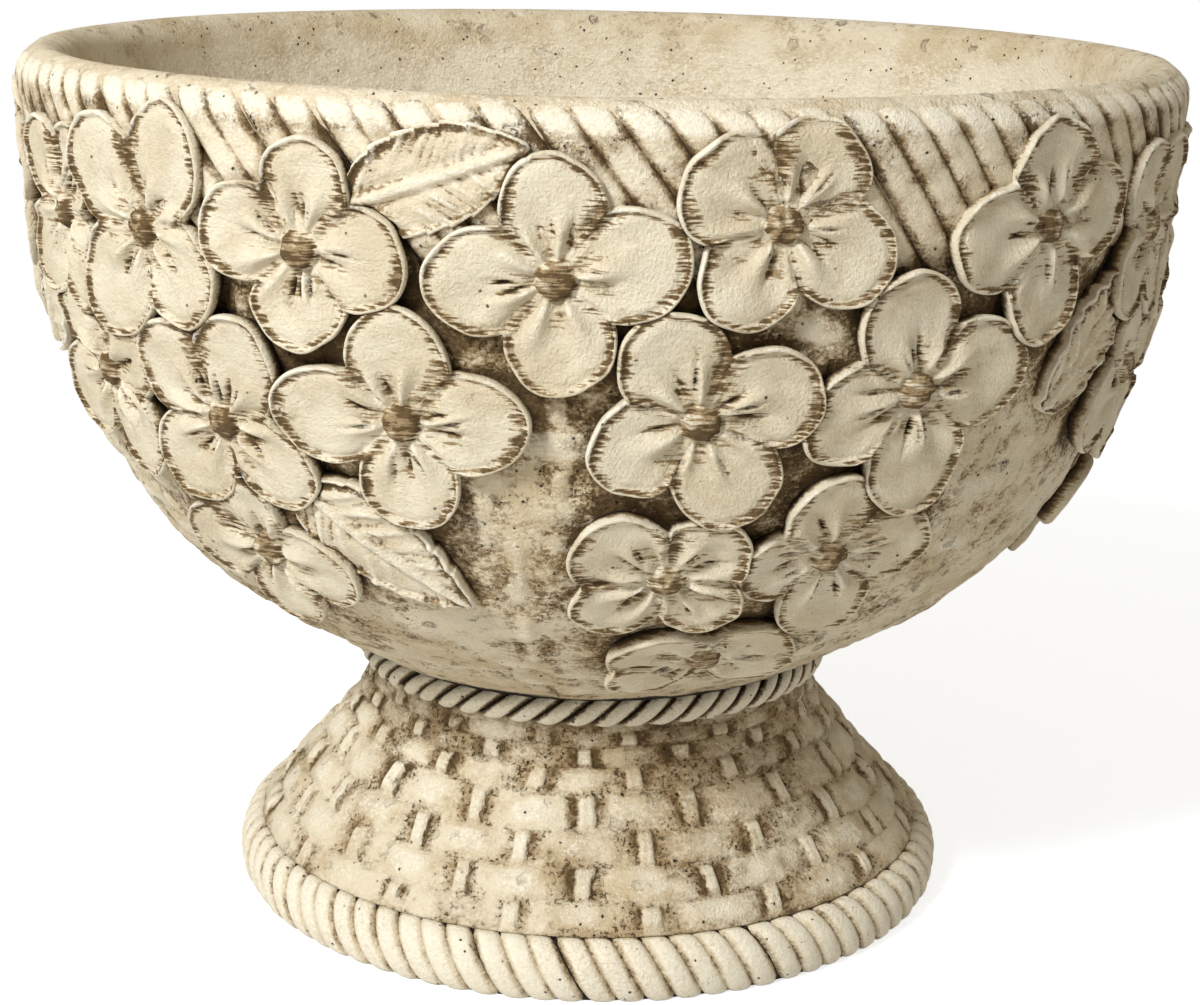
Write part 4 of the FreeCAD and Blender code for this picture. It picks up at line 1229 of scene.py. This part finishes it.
def leaf_piece(name, leaf):
    """A long toothed leaf with a raised middle vein and slanting side veins."""
    rows, columns = LEAF_GRID
    seed = leaf.seed
    share = np.linspace(0.006, 0.994, rows)[:, None]
    side = np.linspace(-1.0, 1.0, columns)[None, :]
    side = np.sign(side) * np.abs(side) ** 0.8
    width = leaf.half_width(share)
    run, across = (share - 0.5) * leaf.length, side * width
    off, edge = np.abs(across), (1.0 - np.abs(side)) * width
    flat = (np.broadcast_to(run, across.shape), across, np.zeros(across.shape))
    own = np.stack(flat, -1) + seed

    # Side veins, fine scratches between them, the middle vein and a raised rim
    slant = run - 0.95 * off + 1.6 * lumps(own, 16.0, seed + 2) + 1.3 * np.sign(across)
    veins = 0.5 + 0.5 * np.cos(slant / leaf.length * 2.0 * math.pi * 7.0)
    drawn = smooth(off, 0.8, 3.0) * (0.55 + 0.45 * lumps(own, 12.0, seed + 3))
    wave = np.cos(slant / leaf.length * 2.0 * math.pi * 17.0 + 1.2 * lumps(own, 7.0, seed + 4))
    scratch = (0.5 + 0.5 * wave) ** 5 * smooth(off, 1.0, 3.5)
    scratch = scratch * patches(own, 8.0, seed + 5, -0.1, 0.6)
    stand = RELIEF - 2.2 + 1.5 * bell(across, 1.4) + 1.05 * veins**2.2 * drawn - 0.40 * scratch
    stand -= 0.8 * bell(off - 2.8, 1.1) + 0.0035 * across**2
    stand += 0.85 * bell(edge - 0.7, 0.8) - 0.45 * bell(edge - 2.6, 1.1)
    ends = smooth(share, 0.0, 0.05) * (1.0 - smooth(share, 0.96, 1.0))
    stand = stand * (0.55 + 0.45 * ends)
    stand = stand + 0.34 * lumps(own, 10.0, seed) + 0.12 * lumps(own, 3.4, seed + 1)

    # Wash between the veins and inside the rim, with dark strokes along the upper edge
    upper_edge = side > 0
    wash = 0.30 * (1.0 - veins) ** 3 * drawn + 0.42 * bell(off - 2.2, 0.8) + 0.55 * scratch
    inside_rim = smooth(edge, 0.5, 1.0) * (1.0 - smooth(edge, 1.2, 3.6))
    brushed = bell(edge - 2.4, 2.0) * upper_edge * patches(own, 14.0, seed + 6, -0.5, 0.3)
    wash += 0.62 * inside_rim * (0.7 + 0.3 * upper_edge) + 0.75 * brushed
    # Pale and painted highlight on the middle vein, the vein crests and the rim
    pale = 0.22 + 0.50 * bell(across, 1.2) + 0.55 * veins**4 * drawn
    pale += 0.60 * (1.0 - smooth(edge, 0.3, 1.1))

    # The strip across each row goes over the top and back underneath
    flank = ((0.6, 0.1), (1.8, 0.2), (3.6, -0.2), (6.0, -1.2))
    under = [(width + out, stand[:, -1:] - down) for down, out in flank]
    under += [(-(width + out), stand[:, :1] - down) for down, out in flank[::-1]]
    cross, high = (
        np.concatenate([top, *rest], 1) for top, rest in zip((across, stand), zip(*under))
    )
    angle = math.radians(leaf.heading)
    sideways = run * math.cos(angle) - cross * math.sin(angle)
    up = run * math.sin(angle) + cross * math.cos(angle)
    place, near = set_on_wall(leaf, sideways, up, high, over_them(name))
    # The strip's sides underneath are painted dark as shade, and so is the leaf where it dips under
    # pieces over it
    fields = join_fields(
        (across.shape, (rows, len(under))), 1,
        wash=(wash, (0.1, 0.4, 0.9, 1.2, 1.2, 0.9, 0.4, 0.1)),
        deep=(0.42 * brushed, (0.0, 0.0, 0.5, 1.0, 1.0, 0.5, 0.0, 0.0)),
        pale=(pale, 0.0), calm=(0.0, 0.8),
    )
    fields["wash"] += 0.85 * fade(near, 2.2)
    fields["deep"] += 0.8 * fade(near, 1.0)
    fields["pale"] *= 1.0 - fade(near, 2.0)
    quads = tube_faces(*near.shape)[:, ::-1]
    caps = tube_caps(*near.shape)[:, (0, 2, 1)]
    mesh = make_mesh(name + "_mesh", place.reshape(-1, 3), quads, caps, **fields)
    return show(name + "_piece", mesh, leaf_stone, name)


# Camera, light and floor, in metres and radians
CAMERA_PLACE = (0.0, -0.8365, 0.3599)
CAMERA_YAW, CAMERA_PITCH, CAMERA_ROLL = 0.0023, 0.2628, 0.0206
LENS, SENSOR_WIDTH = 72.0, 36.0
LIT_POINT = (0.0, 0.0, 0.15)
WHITE = (1.0, 1.0, 1.0, 1.0)
SURROUND, SURROUND_STRENGTH = (1.0, 0.87, 0.67, 1.0), 0.34
FLOOR_TONE, FLOOR_SEEN = (0.80, 0.80, 0.79, 1.0), (0.72, 0.80, 0.93, 1.0)
FLOOR_GLOW, FLOOR_HALF = 0.72, 30


def make_camera():
    """The photograph's view: a little above the rim and slightly rolled."""
    yaw, pitch, roll = CAMERA_YAW, CAMERA_PITCH, CAMERA_ROLL
    flat = math.cos(pitch)
    ahead = Vector((math.sin(yaw) * flat, math.cos(yaw) * flat, -math.sin(pitch)))
    right = Vector((math.cos(yaw), -math.sin(yaw), 0.0))
    up = right.cross(ahead)
    side = math.cos(roll) * right + math.sin(roll) * up
    top = -math.sin(roll) * right + math.cos(roll) * up
    camera = put("camera", bpy.data.cameras.new("camera"))
    camera.data.lens, camera.data.sensor_width = LENS, SENSOR_WIDTH
    turn = Matrix((side, top, -ahead)).transposed()
    camera.matrix_world = Matrix.Translation(CAMERA_PLACE) @ turn.to_4x4()
    bpy.context.scene.camera = camera


def soft_lamp(name, place, size, power, tint):
    """A square soft lamp aimed at the pot."""
    lamp = bpy.data.lights.new(name, "AREA")
    lamp.size, lamp.energy, lamp.color = size, power, tint
    holder = put(name, lamp)
    holder.location = place
    holder.rotation_euler = (Vector(LIT_POINT) - Vector(place)).to_track_quat("-Z", "Y").to_euler()


def make_light():
    """A key from the upper left in front, a weak fill and an even surround."""
    soft_lamp("key_lamp", (-0.93, -1.37, 1.38), 0.40, 41.0, (1.0, 1.0, 1.0))
    soft_lamp("fill_lamp", (1.5, -1.4, 0.7), 1.2, 0.6, (1.0, 0.99, 0.97))
    world = bpy.data.worlds.new("surround")
    bpy.context.scene.world = world
    world.use_nodes = True
    tree = world.node_tree
    tree.nodes.clear()
    around, white = (
        add_node(tree, "ShaderNodeBackground", {}, {"Color": tone, "Strength": strength})
        for tone, strength in ((SURROUND, SURROUND_STRENGTH), (WHITE, 1.0))
    )
    mixed = add_node(tree, "ShaderNodeMixShader", {}, {0: seen_ray(tree), 1: around, 2: white})
    end_tree(tree, "ShaderNodeOutputWorld", mixed)


def seen_ray(tree):
    """1 for rays that come straight from the camera or by way of gloss or glass."""
    camera_ray, gloss_ray, glass_ray = (
        add_node(tree, "ShaderNodeLightPath", {}, {}, "Is %s Ray" % kind)
        for kind in ("Camera", "Glossy", "Transmission")
    )
    return camera_ray.sum("MAXIMUM", camera_ray.sum("MAXIMUM", camera_ray, gloss_ray), glass_ray)


def make_floor():
    """A white floor that keeps the pot's shadow close to the foot."""
    mesh = bpy.data.meshes.new("floor")
    corners = [(x * FLOOR_HALF, y * FLOOR_HALF, 0) for x, y in ((-1, -1), (1, -1), (1, 1), (-1, 1))]
    mesh.from_pydata(corners, [], [(0, 1, 2, 3)])
    f = Finish("floor_finish")
    diffuse, cooled = (
        f.node("ShaderNodeBsdfDiffuse", {}, {"Color": tone}) for tone in (FLOOR_TONE, FLOOR_SEEN)
    )
    glow, white = (
        f.node("ShaderNodeEmission", {}, {"Color": WHITE, "Strength": strength})
        for strength in (FLOOR_GLOW, 1.0)
    )
    near = f.node("ShaderNodeAddShader", {}, {0: cooled, 1: glow})
    point = f.node("ShaderNodeTexCoord", output=3)
    flat = f.node("ShaderNodeVectorMath", {"operation": "LENGTH"}, {0: point}, 1)
    shown = f.node("ShaderNodeMixShader", {}, {0: f.step(flat, 0.35, 0.9), 1: near, 2: white})
    mixed = f.node("ShaderNodeMixShader", {}, {0: seen_ray(f.tree), 1: diffuse, 2: shown})
    end_tree(f.tree, "ShaderNodeOutputMaterial", mixed)
    mesh.materials.append(f.material)
    put("floor", mesh)


make_camera()
make_light()
make_floor()
bowl_piece()
foot_piece()
rim_band()
foot_rope()
neck_rope()
for relief_name, relief_item in relief.items():
    if isinstance(relief_item, Flower):
        flower_piece(relief_name, relief_item)
    else:
        leaf_piece(relief_name, relief_item)

bpy.context.scene.view_settings.view_transform = "Standard"
